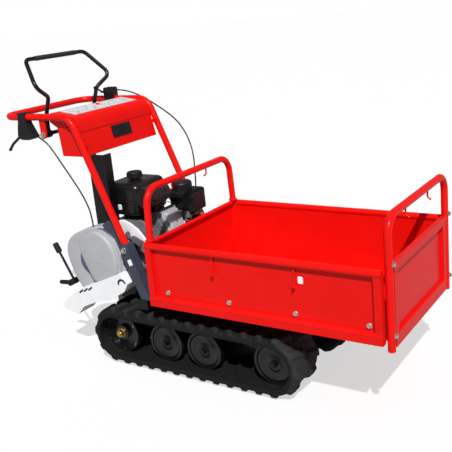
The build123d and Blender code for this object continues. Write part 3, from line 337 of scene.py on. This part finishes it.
# The scuffing and painted highlight start 109 mm from a level line as long as the wheels' spacing. It lies 20
# mm behind their centres, so the lugs along the runs are lighter at their tops, and the front end, which faces
# the key light, is lightest.
parts = add(tree, "SeparateXYZ", {0: place})
along = add(tree, "Math", {0: parts.outputs["X"], 1: SCUFF_AND_HIGHLIGHT_MIDDLE}, operation="SUBTRACT")
along = add(tree, "Math", {0: along.outputs[0]}, operation="ABSOLUTE")
along = add(tree, "Math", {0: along.outputs[0], 1: SCUFF_AND_HIGHLIGHT_HALF}, operation="SUBTRACT")
along = add(tree, "Math", {0: along.outputs[0], 1: 0.0}, operation="MAXIMUM")
rise = add(tree, "Math", {0: parts.outputs["Z"], 1: WHEEL_Z}, operation="SUBTRACT")
radial = add(tree, "CombineXYZ", {"X": along.outputs[0], "Z": rise.outputs[0]})
reach = add(tree, "VectorMath", {0: radial.outputs[0]}, operation="LENGTH")
scuff_and_highlight = add(tree, "MapRange", {"Value": reach.outputs["Value"], "From Min": 0.109, "From Max": 0.117,
                               "To Max": 0.8})
grime = add(tree, "TexNoise", {"Vector": place, "Scale": 55.0, "Detail": 6.0, "Roughness": 0.65})
fine = add(tree, "TexNoise", {"Vector": place, "Scale": 900.0, "Detail": 2.0})
patchy_scuff_and_highlight = add(tree, "Math", {0: scuff_and_highlight.outputs[0], 1: grime.outputs[0]}, operation="MULTIPLY")
base = add(tree, "Mix", {0: grime.outputs[0], 6: linear("0f0f10"), 7: linear("1b1b1c")}, data_type="RGBA")
tone = add(tree, "Mix", {0: patchy_scuff_and_highlight.outputs[0], 6: base.outputs[2], 7: linear("3b3b3d")}, data_type="RGBA")
rough = add(tree, "MapRange", {"Value": grime.outputs[0], "To Min": 0.55, "To Max": 0.85})
bump = add(tree, "Bump", {"Height": fine.outputs[0], "Strength": 0.35, "Distance": 0.0005})
wire(tree, shader, Base_Color=tone.outputs[2], Roughness=rough.outputs[0], Normal=bump.outputs[0])


def track_skin(side, name):
    """One track as a closed ribbon. A point at run s and width w stands h from the neutral line, which is two
    straights joined by half circles. Outside, h = 20 mm + 11 mm * lug, where lug is 1 within 8 mm of a slanted
    centre line s = 60k + lean*|w| and falls smoothly to 0 by 14 mm; the two halves are half a pitch apart.
    Inside, h = -6 mm, less 18 mm at a guide horn. A shoulder curve rounds the ribbon's edges."""
    pitch, radius, straight = TRACK_PITCH, NEUTRAL_R, IDLER_X - SPROCKET_X
    s = np.linspace(0, pitch * TRACK_LINKS, TRACK_LINKS * 15, endpoint=False)[:, None]
    half = 0.090
    out_w = half * np.sin(np.linspace(-0.5, 0.5, 33) * np.pi * 0.96) / np.sin(0.48 * np.pi)
    in_w = np.array([0.088, 0.050, 0.0115, 0.0095, 0.0, -0.0095, -0.0115, -0.050, -0.088])
    lean = np.where(out_w < 0, 0.22, -0.22) * (np.abs(out_w) - 0.045)
    shift = np.where(out_w < 0, 0.0, 0.5 * pitch)
    off = np.abs((s + lean - shift + pitch / 2) % pitch - pitch / 2)
    lug = np.clip((0.0140 - off) / 0.0060, 0, 1)
    lug = lug * lug * (3 - 2 * lug) * np.clip((np.abs(out_w) - 0.003) / 0.006, 0, 1)
    shoulder = np.sqrt(np.clip(1 - (np.abs(out_w) / (half + 0.0004)) ** 10, 0, 1))
    outer = 0.002 + (0.018 + 0.011 * lug) * shoulder
    beat = np.abs((s + pitch / 2) % pitch - pitch / 2)
    horn = np.clip((0.0100 - beat) / 0.0030, 0, 1) * np.array([0, 0, 0, 1, 1, 1, 0, 0, 0])
    inner = -0.006 - 0.018 * horn
    h = np.concatenate([outer, inner], 1)
    w = np.concatenate([out_w, in_w])[None, :] * np.ones_like(h)
    arc = np.pi * radius
    turn = np.select([s < straight, s < straight + arc, s < 2 * straight + arc],
                     [0 * s, (s - straight) / radius, np.pi + 0 * s], np.pi + (s - 2 * straight - arc) / radius)
    middle = np.select([s < straight, s < straight + arc, s < 2 * straight + arc],
                       [SPROCKET_X + s, IDLER_X + 0 * s, IDLER_X - (s - straight - arc)], SPROCKET_X + 0 * s)
    x = middle + (radius + h) * np.sin(turn)
    z = WHEEL_Z + (radius + h) * np.cos(turn)
    y = side * (0.189 - w)
    skin = surface(name, np.stack([x, y, z], -1), "chassis", track_rubber, (True, True))
    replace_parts(skin, "rubber_track_right" if side < 0 else "rubber_track_left")
    sharp = skin.modifiers.new("edges", "EDGE_SPLIT")
    sharp.split_angle = np.radians(38)


for side, name in ((-1, "track_right"), (1, "track_left")):
    track_skin(side, name)


# ------------------------------------------------------------------ wheels and rollers
# Cast iron sprockets, idlers and rollers in gloss black paint over a sand-cast skin. The paint is polished
# where the rubber runs, and each wheel wears a dished cover with a rolled rim.
wheel_black, tree, shader, place = new_finish("gloss black paint on sand-cast iron", Coat_Weight=0.5,
                                              Coat_Roughness=0.1)
shader.inputs["Specular IOR Level"].default_value = 0.3
# The sand skin has grains of about 0.5 mm; drawn at 1.5 mm so that it shows.
sand = add(tree, "TexNoise", {"Vector": place, "Scale": 700.0, "Detail": 3.0})
soil = add(tree, "TexNoise", {"Vector": place, "Scale": 35.0, "Detail": 5.0})
tone = add(tree, "Mix", {0: soil.outputs[0], 6: linear("09090a"), 7: linear("19191b")}, data_type="RGBA")
rough = add(tree, "MapRange", {"Value": soil.outputs[0], "To Min": 0.22, "To Max": 0.5})
bump = add(tree, "Bump", {"Height": sand.outputs[0], "Strength": 0.2, "Distance": 0.0004})
wire(tree, shader, Base_Color=tone.outputs[2], Roughness=rough.outputs[0], Normal=bump.outputs[0])
dress([f"{wheel}_{side}" for wheel in ("drive_sprocket", "idler_wheel", "rear_roller", "front_roller")
       for side in ("right", "left")] + ["engine_pulley", "gearbox_pulley"], wheel_black)


# Each wheel's outer dish is filled by a pressed cover: a rolled rim, a hollow and a raised collar at the hub.
for side, name in ((-1, "right"), (1, "left")):
    for wheel, x, z, rim in (("idler", IDLER_X, WHEEL_Z, 0.0706), ("rear_roller", -0.117, 0.1113, 0.0650),
                             ("front_roller", 0.058, 0.1113, 0.0650)):
        press = [(0.0004, rim - 0.0006), (0.0098, rim - 0.0016), (0.0126, rim - 0.0060), (0.0114, rim - 0.0110),
                 (0.0084, rim * 0.72), (0.0066, rim * 0.60), (0.0066, rim * 0.48), (0.0084, rim * 0.40),
                 (0.0108, 0.0235), (0.0110, 0.0215), (0.0004, 0.0212)]
        body = f"idler_{name}" if wheel == "idler" else f"{wheel}_body_{name}"
        turned(f"{wheel}_cover_{name}", press, (x, side * 0.2212, z), (0, side, 0), body,
               wheel_black, sides=72)


# A flat guard sheet closes the gap between each track's runs, behind the wheels.
def side_sheet(side, name):
    """A sheet 1.2 mm thick with rounded ends: x = x0 + k*a*sign(cos t)*|cos t|^0.3 and
    z = z0 + k*b*sign(sin t)*|sin t|^0.6, where k runs from nearly 0 to 1 and back over the two faces."""
    middle_x, middle_z, half_long, half_high, y_out, y_in = 0.020, 0.1110, 0.318, 0.066, 0.1402, 0.1390
    t = np.linspace(0, 2 * np.pi, 72, endpoint=False)
    x = half_long * np.sign(np.cos(t)) * np.abs(np.cos(t)) ** 0.3
    z = half_high * np.sign(np.sin(t)) * np.abs(np.sin(t)) ** 0.6
    k = np.array([0.001, 0.5, 1.0, 1.0, 0.5, 0.001])[:, None]
    y = np.array([y_out, y_out, y_out, y_in, y_in, y_in])[:, None] * np.ones_like(t) * side
    grid = np.stack([middle_x + k * x, y, middle_z + k * z], -1)
    return surface(name, grid, "chassis", wheel_black, (False, True))


for side, name in ((-1, "right"), (1, "left")):
    side_sheet(side, f"track_side_sheet_{name}")


# ------------------------------------------------------------------ hub nuts
# The axle nut, its washer and the six small bolts on each sprocket: turned steel, zinc plated and passivated
# yellow.
passivated, tree, shader, place = new_finish("yellow passivated zinc", Metallic=1.0)
# The passivate is iridescent: patches of straw, gold and a little brown a few millimetres wide.
patches = add(tree, "TexNoise", {"Vector": place, "Scale": 220.0, "Detail": 3.0})
tone = add(tree, "Mix", {0: patches.outputs[0], 6: linear("8e6a2c"), 7: linear("e8cf8a")}, data_type="RGBA")
rough = add(tree, "MapRange", {"Value": patches.outputs[0], "To Min": 0.22, "To Max": 0.45})
wire(tree, shader, Base_Color=tone.outputs[2], Roughness=rough.outputs[0])
dress(["hub_nuts_right", "hub_nuts_left"], passivated)


# ------------------------------------------------------------------ bright bolts and pins
# Hexagon bolts, washers and the hinge pin, which hold the bed and the frame together: turned or rolled steel,
# plated with bright zinc.
zinc, tree, shader, place = new_finish("bright zinc plate", Metallic=1.0)
cells = add(tree, "TexNoise", {"Vector": place, "Scale": 400.0, "Detail": 3.0})
tone = add(tree, "Mix", {0: cells.outputs[0], 6: linear("b9bbb8"), 7: linear("ecebe2")}, data_type="RGBA")
rough = add(tree, "MapRange", {"Value": cells.outputs[0], "To Min": 0.18, "To Max": 0.4})
wire(tree, shader, Base_Color=tone.outputs[2], Roughness=rough.outputs[0])
dress(["bed_bolts", "pins_and_bolts"], zinc)


# ------------------------------------------------------------------ black steelwork
# Chassis, track frames, engine tray, rear column, cross tube, clutch loop, tension arm and shift rod: steel in
# one satin black coat with a fine texture and a few rubbed, greyer places.
black_coat, tree, shader, place = new_finish("satin black enamel", Coat_Weight=0.15, Coat_Roughness=0.2)
shader.inputs["Specular IOR Level"].default_value = 0.28
peel = add(tree, "TexNoise", {"Vector": place, "Scale": 320.0, "Detail": 2.0})
rub = add(tree, "TexNoise", {"Vector": place, "Scale": 28.0, "Detail": 6.0, "Roughness": 0.7})
rubbed = add(tree, "MapRange", {"Value": rub.outputs[0], "From Min": 0.6, "From Max": 0.85, "To Max": 0.6})
tone = add(tree, "Mix", {0: rubbed.outputs[0], 6: linear("08080a"), 7: linear("2a2a2d")}, data_type="RGBA")
rough = add(tree, "MapRange", {"Value": rub.outputs[0], "To Min": 0.28, "To Max": 0.5})
bump = add(tree, "Bump", {"Height": peel.outputs[0], "Strength": 0.15, "Distance": 0.0004})
wire(tree, shader, Base_Color=tone.outputs[2], Roughness=rough.outputs[0], Normal=bump.outputs[0])
dress(["chassis_frame", "track_frame_right", "track_frame_left", "engine_base", "rear_column", "cross_tube",
       "clutch_loop", "tension_arm", "gear_lever"], black_coat)


# ------------------------------------------------------------------ handle brackets
# Folded steel channels that clamp the handle tube. They are painted satin slate blue-grey, and the paint has a
# slightly chalky skin.
slate, tree, shader, place = new_finish("satin slate blue paint")
chalk = add(tree, "TexNoise", {"Vector": place, "Scale": 45.0, "Detail": 6.0, "Roughness": 0.65})
peel = add(tree, "TexNoise", {"Vector": place, "Scale": 300.0, "Detail": 2.0})
tone = add(tree, "Mix", {0: chalk.outputs[0], 6: linear("272d39"), 7: linear("3d4557")}, data_type="RGBA")
rough = add(tree, "MapRange", {"Value": chalk.outputs[0], "To Min": 0.38, "To Max": 0.6})
bump = add(tree, "Bump", {"Height": peel.outputs[0], "Strength": 0.15, "Distance": 0.0004})
wire(tree, shader, Base_Color=tone.outputs[2], Roughness=rough.outputs[0], Normal=bump.outputs[0])
dress(["handle_brackets"], slate)


# ------------------------------------------------------------------ belt cover and rear fender
# Injection-moulded polypropylene: a deep grey case with a raised dome over the belt, its white wing, and the
# white lobe that guards the end of the track. The mould leaves a fine even grain, where dust sticks in specks.
moulding, tree, shader, place = new_finish("light grey moulded polypropylene", IOR=1.49)
# The mould's spark-eroded grain is about 0.3 mm; drawn at 1.2 mm so that it shows.
spark = add(tree, "TexNoise", {"Vector": place, "Scale": 850.0, "Detail": 2.0})
haze = add(tree, "TexNoise", {"Vector": place, "Scale": 14.0, "Detail": 6.0, "Roughness": 0.6})
soot = add(tree, "TexNoise", {"Vector": place, "Scale": 120.0, "Detail": 6.0, "Roughness": 0.75})
speck = add(tree, "MapRange", {"Value": soot.outputs[0], "From Min": 0.62, "From Max": 0.8, "To Max": 0.35})
tone = add(tree, "Mix", {0: haze.outputs[0], 6: linear("9b9da1"), 7: linear("b4b6ba")}, data_type="RGBA")
worn = add(tree, "Mix", {0: speck.outputs[0], 6: tone.outputs[2], 7: linear("83817e")}, data_type="RGBA")
rough = add(tree, "MapRange", {"Value": haze.outputs[0], "To Min": 0.42, "To Max": 0.6})
bump = add(tree, "Bump", {"Height": spark.outputs[0], "Strength": 0.12, "Distance": 0.0003})
wire(tree, shader, Base_Color=worn.outputs[2], Roughness=rough.outputs[0], Normal=bump.outputs[0])


def soft_outline(points, count, grow):
    """A smooth closed curve in x and z near its points: the uniform cubic B-spline, whose weights on four
    neighbours are (1-t)^3/6, (3t^3-6t^2+4)/6, (-3t^3+3t^2+3t+1)/6 and t^3/6, enlarged about its middle."""
    points = np.array(points, float) / 1000
    share = np.linspace(0, len(points), count, endpoint=False)
    low = share.astype(int)
    t = (share - low)[:, None]
    weights = ((1 - t) ** 3, 3 * t**3 - 6 * t**2 + 4, -3 * t**3 + 3 * t**2 + 3 * t + 1, t**3)
    curve = sum(w / 6 * points[(low + k) % len(points)] for k, w in enumerate(weights))
    return curve.mean(0) + grow * (curve - curve.mean(0))


def moulded(name, edge, back, front, corner, crown, finish):
    """A moulded lid along Y: the edge is carried from the back plane to the front one, rolls over a quarter
    circle of the corner's radius, y = front + r*(1 - sin a) inset by r*(1 - cos a), and ends in a crowned
    face."""
    middle = edge.mean(0)
    reach = np.linalg.norm(edge - middle, axis=1)[:, None]
    roll_over = np.linspace(0, np.pi / 2, 7)
    inset = np.r_[0, 0, corner * (1 - np.cos(roll_over))]
    depth = np.r_[back, front + corner, front + corner * (1 - np.sin(roll_over))]
    size = reach.mean()
    inner = np.array([0.8, 0.6, 0.4, 0.2, 0.002])
    shrink = np.r_[1 - inset / size, (1 - corner / size) * inner]
    depth = np.r_[depth, front - crown * (1 - inner**2)]
    flat = middle + shrink[:, None, None] * (edge - middle)
    grid = np.stack([flat[..., 0], np.broadcast_to(depth[:, None], flat.shape[:2]), flat[..., 1]], -1)
    return surface(name, grid, "chassis", finish, (False, True))


# The case: a deep flange against the engine tray, and the dome that bulges over the pulleys.
FLANGE = [(-604, 438), (-575, 482), (-520, 508), (-452, 530), (-384, 540), (-322, 500), (-300, 440),
          (-296, 356), (-356, 300), (-431, 260), (-520, 238), (-566, 286), (-604, 386)]
DOME = [(-512, 466), (-486, 494), (-459, 512), (-420, 528), (-388, 527), (-338, 491), (-317, 441),
        (-313, 366), (-356, 328), (-431, 292), (-474, 372)]
FLANGE_BACK, FLANGE_FACE, DOME_FACE = -0.150, -0.2045, -0.2380
flange_edge, dome_edge = (soft_outline(outline, 160, 1.03) for outline in (FLANGE, DOME))
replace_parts(moulded("cover_flange", flange_edge, FLANGE_BACK, FLANGE_FACE, 0.009, 0.0005,
                    moulding), "belt_cover")
moulded("cover_dome", dome_edge, FLANGE_FACE + 0.001, DOME_FACE, 0.012, 0.0018, moulding)

# The step round the dome holds a slate blue sheet of painted shade, for the shadow on the dome's wall: widest
# low at the rear and again over the shoulder.
painted_step_shade, tree, shader, place = new_finish("slate blue painted shade", Roughness=0.8)
cells = add(tree, "TexVoronoi", {"Vector": place, "Scale": 500.0})
tone = add(tree, "Mix", {0: cells.outputs["Distance"], 6: linear("3c4760"), 7: linear("566280")},
           data_type="RGBA")
wire(tree, shader, Base_Color=tone.outputs[2])
middle = dome_edge.mean(0)
offset = dome_edge - middle
bearing = np.arctan2(offset[:, 1], offset[:, 0])
shade_rear_low, shoulder = (np.exp(-(((bearing - way + np.pi) % (2 * np.pi) - np.pi) / spread) ** 2)
                      for way, spread in ((3.70, 0.60), (1.30, 0.45)))
width = -0.004 + 0.056 * shade_rear_low + 0.012 * shoulder
step_shade_edge = dome_edge + offset * (width / np.linalg.norm(offset, axis=1))[:, None]
moulded("cover_step_shade", step_shade_edge, FLANGE_FACE + 0.0005, FLANGE_FACE - 0.0007, 0.0004, 0.0,
        painted_step_shade)

# A screw head in the dome's face, and the case's white front wing, which shows between the handle and the bed.
turned("dome_screw", [(0.0, 0.0046), (0.0012, 0.0044), (0.0020, 0.0036), (0.0016, 0.0018), (0.0015, 0.0001)],
       (-0.400, -0.2394, 0.407), (0, -1, 0), "chassis", moulding, sides=32)
bright, tree, shader, place = new_finish("white moulded polypropylene", IOR=1.49)
spark = add(tree, "TexNoise", {"Vector": place, "Scale": 850.0, "Detail": 2.0})
haze = add(tree, "TexNoise", {"Vector": place, "Scale": 20.0, "Detail": 6.0, "Roughness": 0.6})
tone = add(tree, "Mix", {0: haze.outputs[0], 6: linear("dfe1e4"), 7: linear("f2f3f4")}, data_type="RGBA")
rough = add(tree, "MapRange", {"Value": haze.outputs[0], "To Min": 0.4, "To Max": 0.6})
bump = add(tree, "Bump", {"Height": spark.outputs[0], "Strength": 0.12, "Distance": 0.0003})
wire(tree, shader, Base_Color=tone.outputs[2], Roughness=rough.outputs[0], Normal=bump.outputs[0])
dress(["rear_fender"], bright)
WING_UPPER = [(-345, 524), (-332, 556), (-312, 569), (-290, 571), (-262, 562), (-225, 540), (-205, 518),
              (-192, 502)]
WING_LOWER = [(-330, 480), (-312, 492), (-296, 512), (-280, 526), (-268, 520), (-270, 504), (-250, 510),
              (-200, 490)]
WING_BACK, WING_EDGE, WING_FACE = -0.183, -0.1858, -0.187
sides = [np.array(side, float) / 1000 for side in (WING_UPPER, WING_LOWER)]
along = np.linspace(0, len(WING_UPPER) - 1, 57)
upper, lower = (np.stack([np.interp(along, range(8), side[:, k]) for k in (0, 1)], 1) for side in sides)
across = np.array([0, 0, 0.06, 0.3, 0.7, 0.94, 1, 1])
depth = np.array([WING_BACK, WING_EDGE, WING_FACE, WING_FACE, WING_FACE, WING_FACE, WING_EDGE, WING_BACK])
flat = upper[:, None] * (1 - across)[None, :, None] + lower[:, None] * across[None, :, None]
grid = np.stack([flat[..., 0], np.broadcast_to(depth, flat.shape[:2]), flat[..., 1]], -1)
surface("cover_wing", grid, "chassis", bright, (False, True))

# Slots in the fender, drawn as flat dark patches of painted shade for their hollows: a hooked one at its front
# end and three short slanted ones on its shoulder.
shade, tree, shader, place = new_finish("painted shade in the fender slots", Roughness=0.85)
lint = add(tree, "TexNoise", {"Vector": place, "Scale": 300.0, "Detail": 4.0})
tone = add(tree, "Mix", {0: lint.outputs[0], 6: linear("0c0f16"), 7: linear("20283a")}, data_type="RGBA")
wire(tree, shader, Base_Color=tone.outputs[2])


def slot_patch(name, line, width, y):
    """A round-ended slot along a line in x and z: p = line(s) +- width/2 * sqrt(1 - (2s - 1)^8) * normal."""
    s = np.linspace(0, 1, 25)
    line = np.array(line, float) / 1000
    knots = np.linspace(0, 1, len(line))
    run = np.stack([np.interp(s, knots, line[:, k]) for k in (0, 1)], 1)
    ahead = np.gradient(run, axis=0)
    normal = np.stack([-ahead[:, 1], ahead[:, 0]], 1) / np.linalg.norm(ahead, axis=1)[:, None]
    half = (width / 2 * np.sqrt(np.clip(1 - (2 * s - 1) ** 8, 0, 1)))[:, None, None]
    across = np.array([-1, -0.9, 0.9, 1.0])
    flat = run[:, None] + half * across[None, :, None] * normal[:, None]
    depth = np.broadcast_to(np.array([y + 0.0004, y, y, y + 0.0004]), flat.shape[:2])
    return surface(name, np.stack([flat[..., 0], depth, flat[..., 1]], -1), "chassis", shade,
                   (False, True))


FENDER_FACE = -0.2463
slot_patch("fender_slot_hook", [(-309, 324), (-308, 338), (-296, 348), (-281, 345), (-272, 333)], 0.009,
           FENDER_FACE)
for index in range(3):
    x, z = -528 + 26 * index, 262 + 9 * index
    slot_patch(f"fender_slot_{index}", [(x, z), (x + 24, z + 17)], 0.008, FENDER_FACE)


# ------------------------------------------------------------------ engine castings
# Crankcase, finned cylinder, carburettor and gearbox: die-cast aluminium, shot blasted to a dull grey, with
# oily dust between the fins.
casting, tree, shader, place = new_finish("shot blasted die-cast aluminium", Metallic=0.35)
blast = add(tree, "TexNoise", {"Vector": place, "Scale": 700.0, "Detail": 3.0})
oil = add(tree, "TexNoise", {"Vector": place, "Scale": 30.0, "Detail": 6.0, "Roughness": 0.7})
tone = add(tree, "Mix", {0: oil.outputs[0], 6: linear("46474b"), 7: linear("a9abb3")}, data_type="RGBA")
rough = add(tree, "MapRange", {"Value": oil.outputs[0], "To Min": 0.35, "To Max": 0.65})
bump = add(tree, "Bump", {"Height": blast.outputs[0], "Strength": 0.3, "Distance": 0.0004})
wire(tree, shader, Base_Color=tone.outputs[2], Roughness=rough.outputs[0], Normal=bump.outputs[0])
dress(["engine_block", "gearbox", "carburettor"], casting)


# The governor's post and its long thin return spring in bright zinc, and the carburettor's yellow idle screw.
def spring(name, start, end, radius, wire, turns, body):
    """A close helix: axis(s) + radius*(cos(2 pi n s), sin(2 pi n s)) carried round by a wire circle."""
    start, end = np.array(start), np.array(end)
    axis = (end - start) / np.linalg.norm(end - start)
    u = np.cross(axis, (0.3, 0.2, 0.9))
    u /= np.linalg.norm(u)
    v = np.cross(axis, u)
    s = np.linspace(0, 1, turns * 16 + 1)[:, None]
    t = 2 * np.pi * turns * s
    out = np.cos(t) * u + np.sin(t) * v
    line = start + s * (end - start) + radius * out
    a = np.linspace(0, 2 * np.pi, 7)[:-1]
    grid = line[:, None] + wire * (np.cos(a)[None, :, None] * out[:, None] + np.sin(a)[None, :, None] * axis)
    return surface(name, grid, body, zinc, (False, True))


spring("governor_spring", (-0.262, -0.030, 0.606), (-0.214, 0.020, 0.590), 0.0036, 0.0007, 14, "chassis")
post = [(0.0, 0.0001), (0.0002, 0.005), (0.016, 0.005), (0.017, 0.009), (0.021, 0.009), (0.0225, 0.006),
        (0.0226, 0.0001)]
screw = [(0.0, 0.0001), (0.0002, 0.004), (0.018, 0.004), (0.019, 0.007), (0.024, 0.007), (0.0245, 0.0001)]
turned("governor_post", post, (-0.262, -0.034, 0.586), (0, 0, 1), "chassis", zinc, sides=24)
turned("idle_screw", screw, (-0.167, 0.084, 0.530), (1, 0, 0.1), "chassis", passivated,
       sides=20)


# ------------------------------------------------------------------ valve cover
# A deep-drawn aluminium cover on the cylinder head, with a raised middle inside a flat flange. It is left bare
# and bright, with fine rubbed lines.
drawn, tree, shader, place = new_finish("bright drawn aluminium", Metallic=0.4)
streak = add(tree, "Mapping", {"Vector": place, "Scale": (60.0, 900.0, 60.0)})
brush = add(tree, "TexNoise", {"Vector": streak.outputs[0], "Scale": 1.0, "Detail": 4.0})
tone = add(tree, "Mix", {0: brush.outputs[0], 6: linear("a9abb0"), 7: linear("e2e4e8")}, data_type="RGBA")
rough = add(tree, "MapRange", {"Value": brush.outputs[0], "To Min": 0.2, "To Max": 0.42})
wire(tree, shader, Base_Color=tone.outputs[2], Roughness=rough.outputs[0])
dress(["valve_cover"], drawn)


# ------------------------------------------------------------------ fuel tank
# A steel tank in two halves, seamed round its middle, with a threaded neck on top. It is enamelled gloss
# black.
tank_black, tree, shader, place = new_finish("gloss black tank enamel", Coat_Weight=0.3, Coat_Roughness=0.1)
shader.inputs["Specular IOR Level"].default_value = 0.3
ripple = add(tree, "TexNoise", {"Vector": place, "Scale": 90.0, "Detail": 2.0})
smear = add(tree, "TexNoise", {"Vector": place, "Scale": 18.0, "Detail": 6.0, "Roughness": 0.65})
tone = add(tree, "Mix", {0: smear.outputs[0], 6: linear("0a0a0d"), 7: linear("18181c")}, data_type="RGBA")
rough = add(tree, "MapRange", {"Value": smear.outputs[0], "To Min": 0.22, "To Max": 0.42})
bump = add(tree, "Bump", {"Height": ripple.outputs[0], "Strength": 0.08, "Distance": 0.001})
wire(tree, shader, Base_Color=tone.outputs[2], Roughness=rough.outputs[0], Normal=bump.outputs[0])
dress(["fuel_tank"], tank_black)


# ------------------------------------------------------------------ muffler and its guard
# The silencer drum is aluminised steel gone brown-grey with heat. The slotted sheet that guards it is in matt
# black heat paint.
heated, tree, shader, place = new_finish("heat tinted aluminised steel", Metallic=0.8)
bloom = add(tree, "TexNoise", {"Vector": place, "Scale": 40.0, "Detail": 6.0, "Roughness": 0.6})
tone = add(tree, "Mix", {0: bloom.outputs[0], 6: linear("1d1815"), 7: linear("4c433d")}, data_type="RGBA")
rough = add(tree, "MapRange", {"Value": bloom.outputs[0], "To Min": 0.4, "To Max": 0.7})
wire(tree, shader, Base_Color=tone.outputs[2], Roughness=rough.outputs[0])
dress(["muffler"], heated)
heat_black, tree, shader, place = new_finish("matt black heat paint", Roughness=0.6)
ash = add(tree, "TexNoise", {"Vector": place, "Scale": 150.0, "Detail": 5.0})
tone = add(tree, "Mix", {0: ash.outputs[0], 6: linear("111113"), 7: linear("2c2b2b")}, data_type="RGBA")
bump = add(tree, "Bump", {"Height": ash.outputs[0], "Strength": 0.2, "Distance": 0.0004})
wire(tree, shader, Base_Color=tone.outputs[2], Normal=bump.outputs[0])
dress(["muffler_guard"], heat_black)


# ------------------------------------------------------------------ black mouldings
# Air cleaner, fuel cap, starter cover and grip, knobs, lever bodies and the bezel: glass-filled nylon, black,
# with the mould's leathery grain and paler, drier patches.
nylon, tree, shader, place = new_finish("grained black nylon")
shader.inputs["Specular IOR Level"].default_value = 0.3
# Moulded grain has cells of about 1 mm; drawn at 1.6 mm so that it shows.
grain = add(tree, "TexVoronoi", {"Vector": place, "Scale": 620.0})
dry = add(tree, "TexNoise", {"Vector": place, "Scale": 24.0, "Detail": 5.0})
tone = add(tree, "Mix", {0: dry.outputs[0], 6: linear("0c0c0e"), 7: linear("1c1c1f")}, data_type="RGBA")
rough = add(tree, "MapRange", {"Value": dry.outputs[0], "To Min": 0.34, "To Max": 0.6})
bump = add(tree, "Bump", {"Height": grain.outputs["Distance"], "Strength": 0.2, "Distance": 0.0004})
wire(tree, shader, Base_Color=tone.outputs[2], Roughness=rough.outputs[0], Normal=bump.outputs[0])
dress(["air_cleaner", "fuel_cap", "recoil_cover", "recoil_grip", "gear_knob", "speed_lever", "lever_clamps",
       "brake_lever", "throttle_lever", "front_plate"], nylon)


# ------------------------------------------------------------------ drive belt
# The V-belt from the engine's pulley to the gearbox's: rubber with a woven fabric jacket, rubbed in at the
# sides.
jacket, tree, shader, place = new_finish("fabric jacketed V-belt", Roughness=0.8)
weave = add(tree, "TexWave", {"Vector": place, "Scale": 300.0, "Distortion": 1.0})
tone = add(tree, "Mix", {0: weave.outputs[0], 6: linear("18181a"), 7: linear("303032")}, data_type="RGBA")
wire(tree, shader, Base_Color=tone.outputs[2])
dress(["drive_belt"], jacket)


# ------------------------------------------------------------------ choke lever
# The choke's little lever, which turns on the carburettor. It is moulded in orange acetal, a smooth and waxy
# plastic.
acetal, tree, shader, place = new_finish("orange acetal", Roughness=0.35)
wax = add(tree, "TexNoise", {"Vector": place, "Scale": 160.0, "Detail": 3.0})
tone = add(tree, "Mix", {0: wax.outputs[0], 6: linear("e04a10"), 7: linear("f26a1c")}, data_type="RGBA")
wire(tree, shader, Base_Color=tone.outputs[2])
dress(["choke_lever"], acetal)


# ------------------------------------------------------------------ clutch loop's sleeve
# A tube of soft foam rubber with a pebbled skin, pushed over the loop's top bar so that the hand has a soft
# grip.
foam, tree, shader, place = new_finish("pebbled foam rubber", Roughness=0.75)
pebble = add(tree, "TexVoronoi", {"Vector": place, "Scale": 480.0})
tone = add(tree, "Mix", {0: pebble.outputs["Distance"], 6: linear("111112"), 7: linear("2b2b2d")},
           data_type="RGBA")
bump = add(tree, "Bump", {"Height": pebble.outputs["Distance"], "Strength": 0.5, "Distance": 0.0006})
wire(tree, shader, Base_Color=tone.outputs[2], Normal=bump.outputs[0])
sleeve = [(0.0, 0.0081), (0.0012, 0.0090), (0.004, 0.0095), (0.220, 0.0095), (0.2228, 0.0090), (0.224, 0.0081)]
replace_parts(turned("loop_sleeve", sleeve, (-0.640, -0.182, 1.193), (0, 1, 0), "clutch", foam,
                   sides=28), "clutch_sleeve")


# ------------------------------------------------------------------ instruction plate
# A laminated film stuck on the control box's sloping top. It is pale blue-white, with rows of plain blocks and
# rules.
film, tree, shader, place = new_finish("laminated polyester film", Roughness=0.22, Coat_Weight=0.4)
rows = add(tree, "TexBrick", {"Vector": place, "Scale": 22.0, "Color1": linear("e3e8f0"),
                              "Color2": linear("23262c"), "Mortar": linear("eef1f5"), "Mortar Size": 0.035,
                              "Bias": -0.2})
scratch = add(tree, "TexNoise", {"Vector": place, "Scale": 60.0, "Detail": 6.0})
tone = add(tree, "Mix", {0: scratch.outputs[0], 6: rows.outputs[0], 7: linear("e9edf3")}, data_type="RGBA")
wire(tree, shader, Base_Color=tone.outputs[2])
dress(["label_plate"], film)
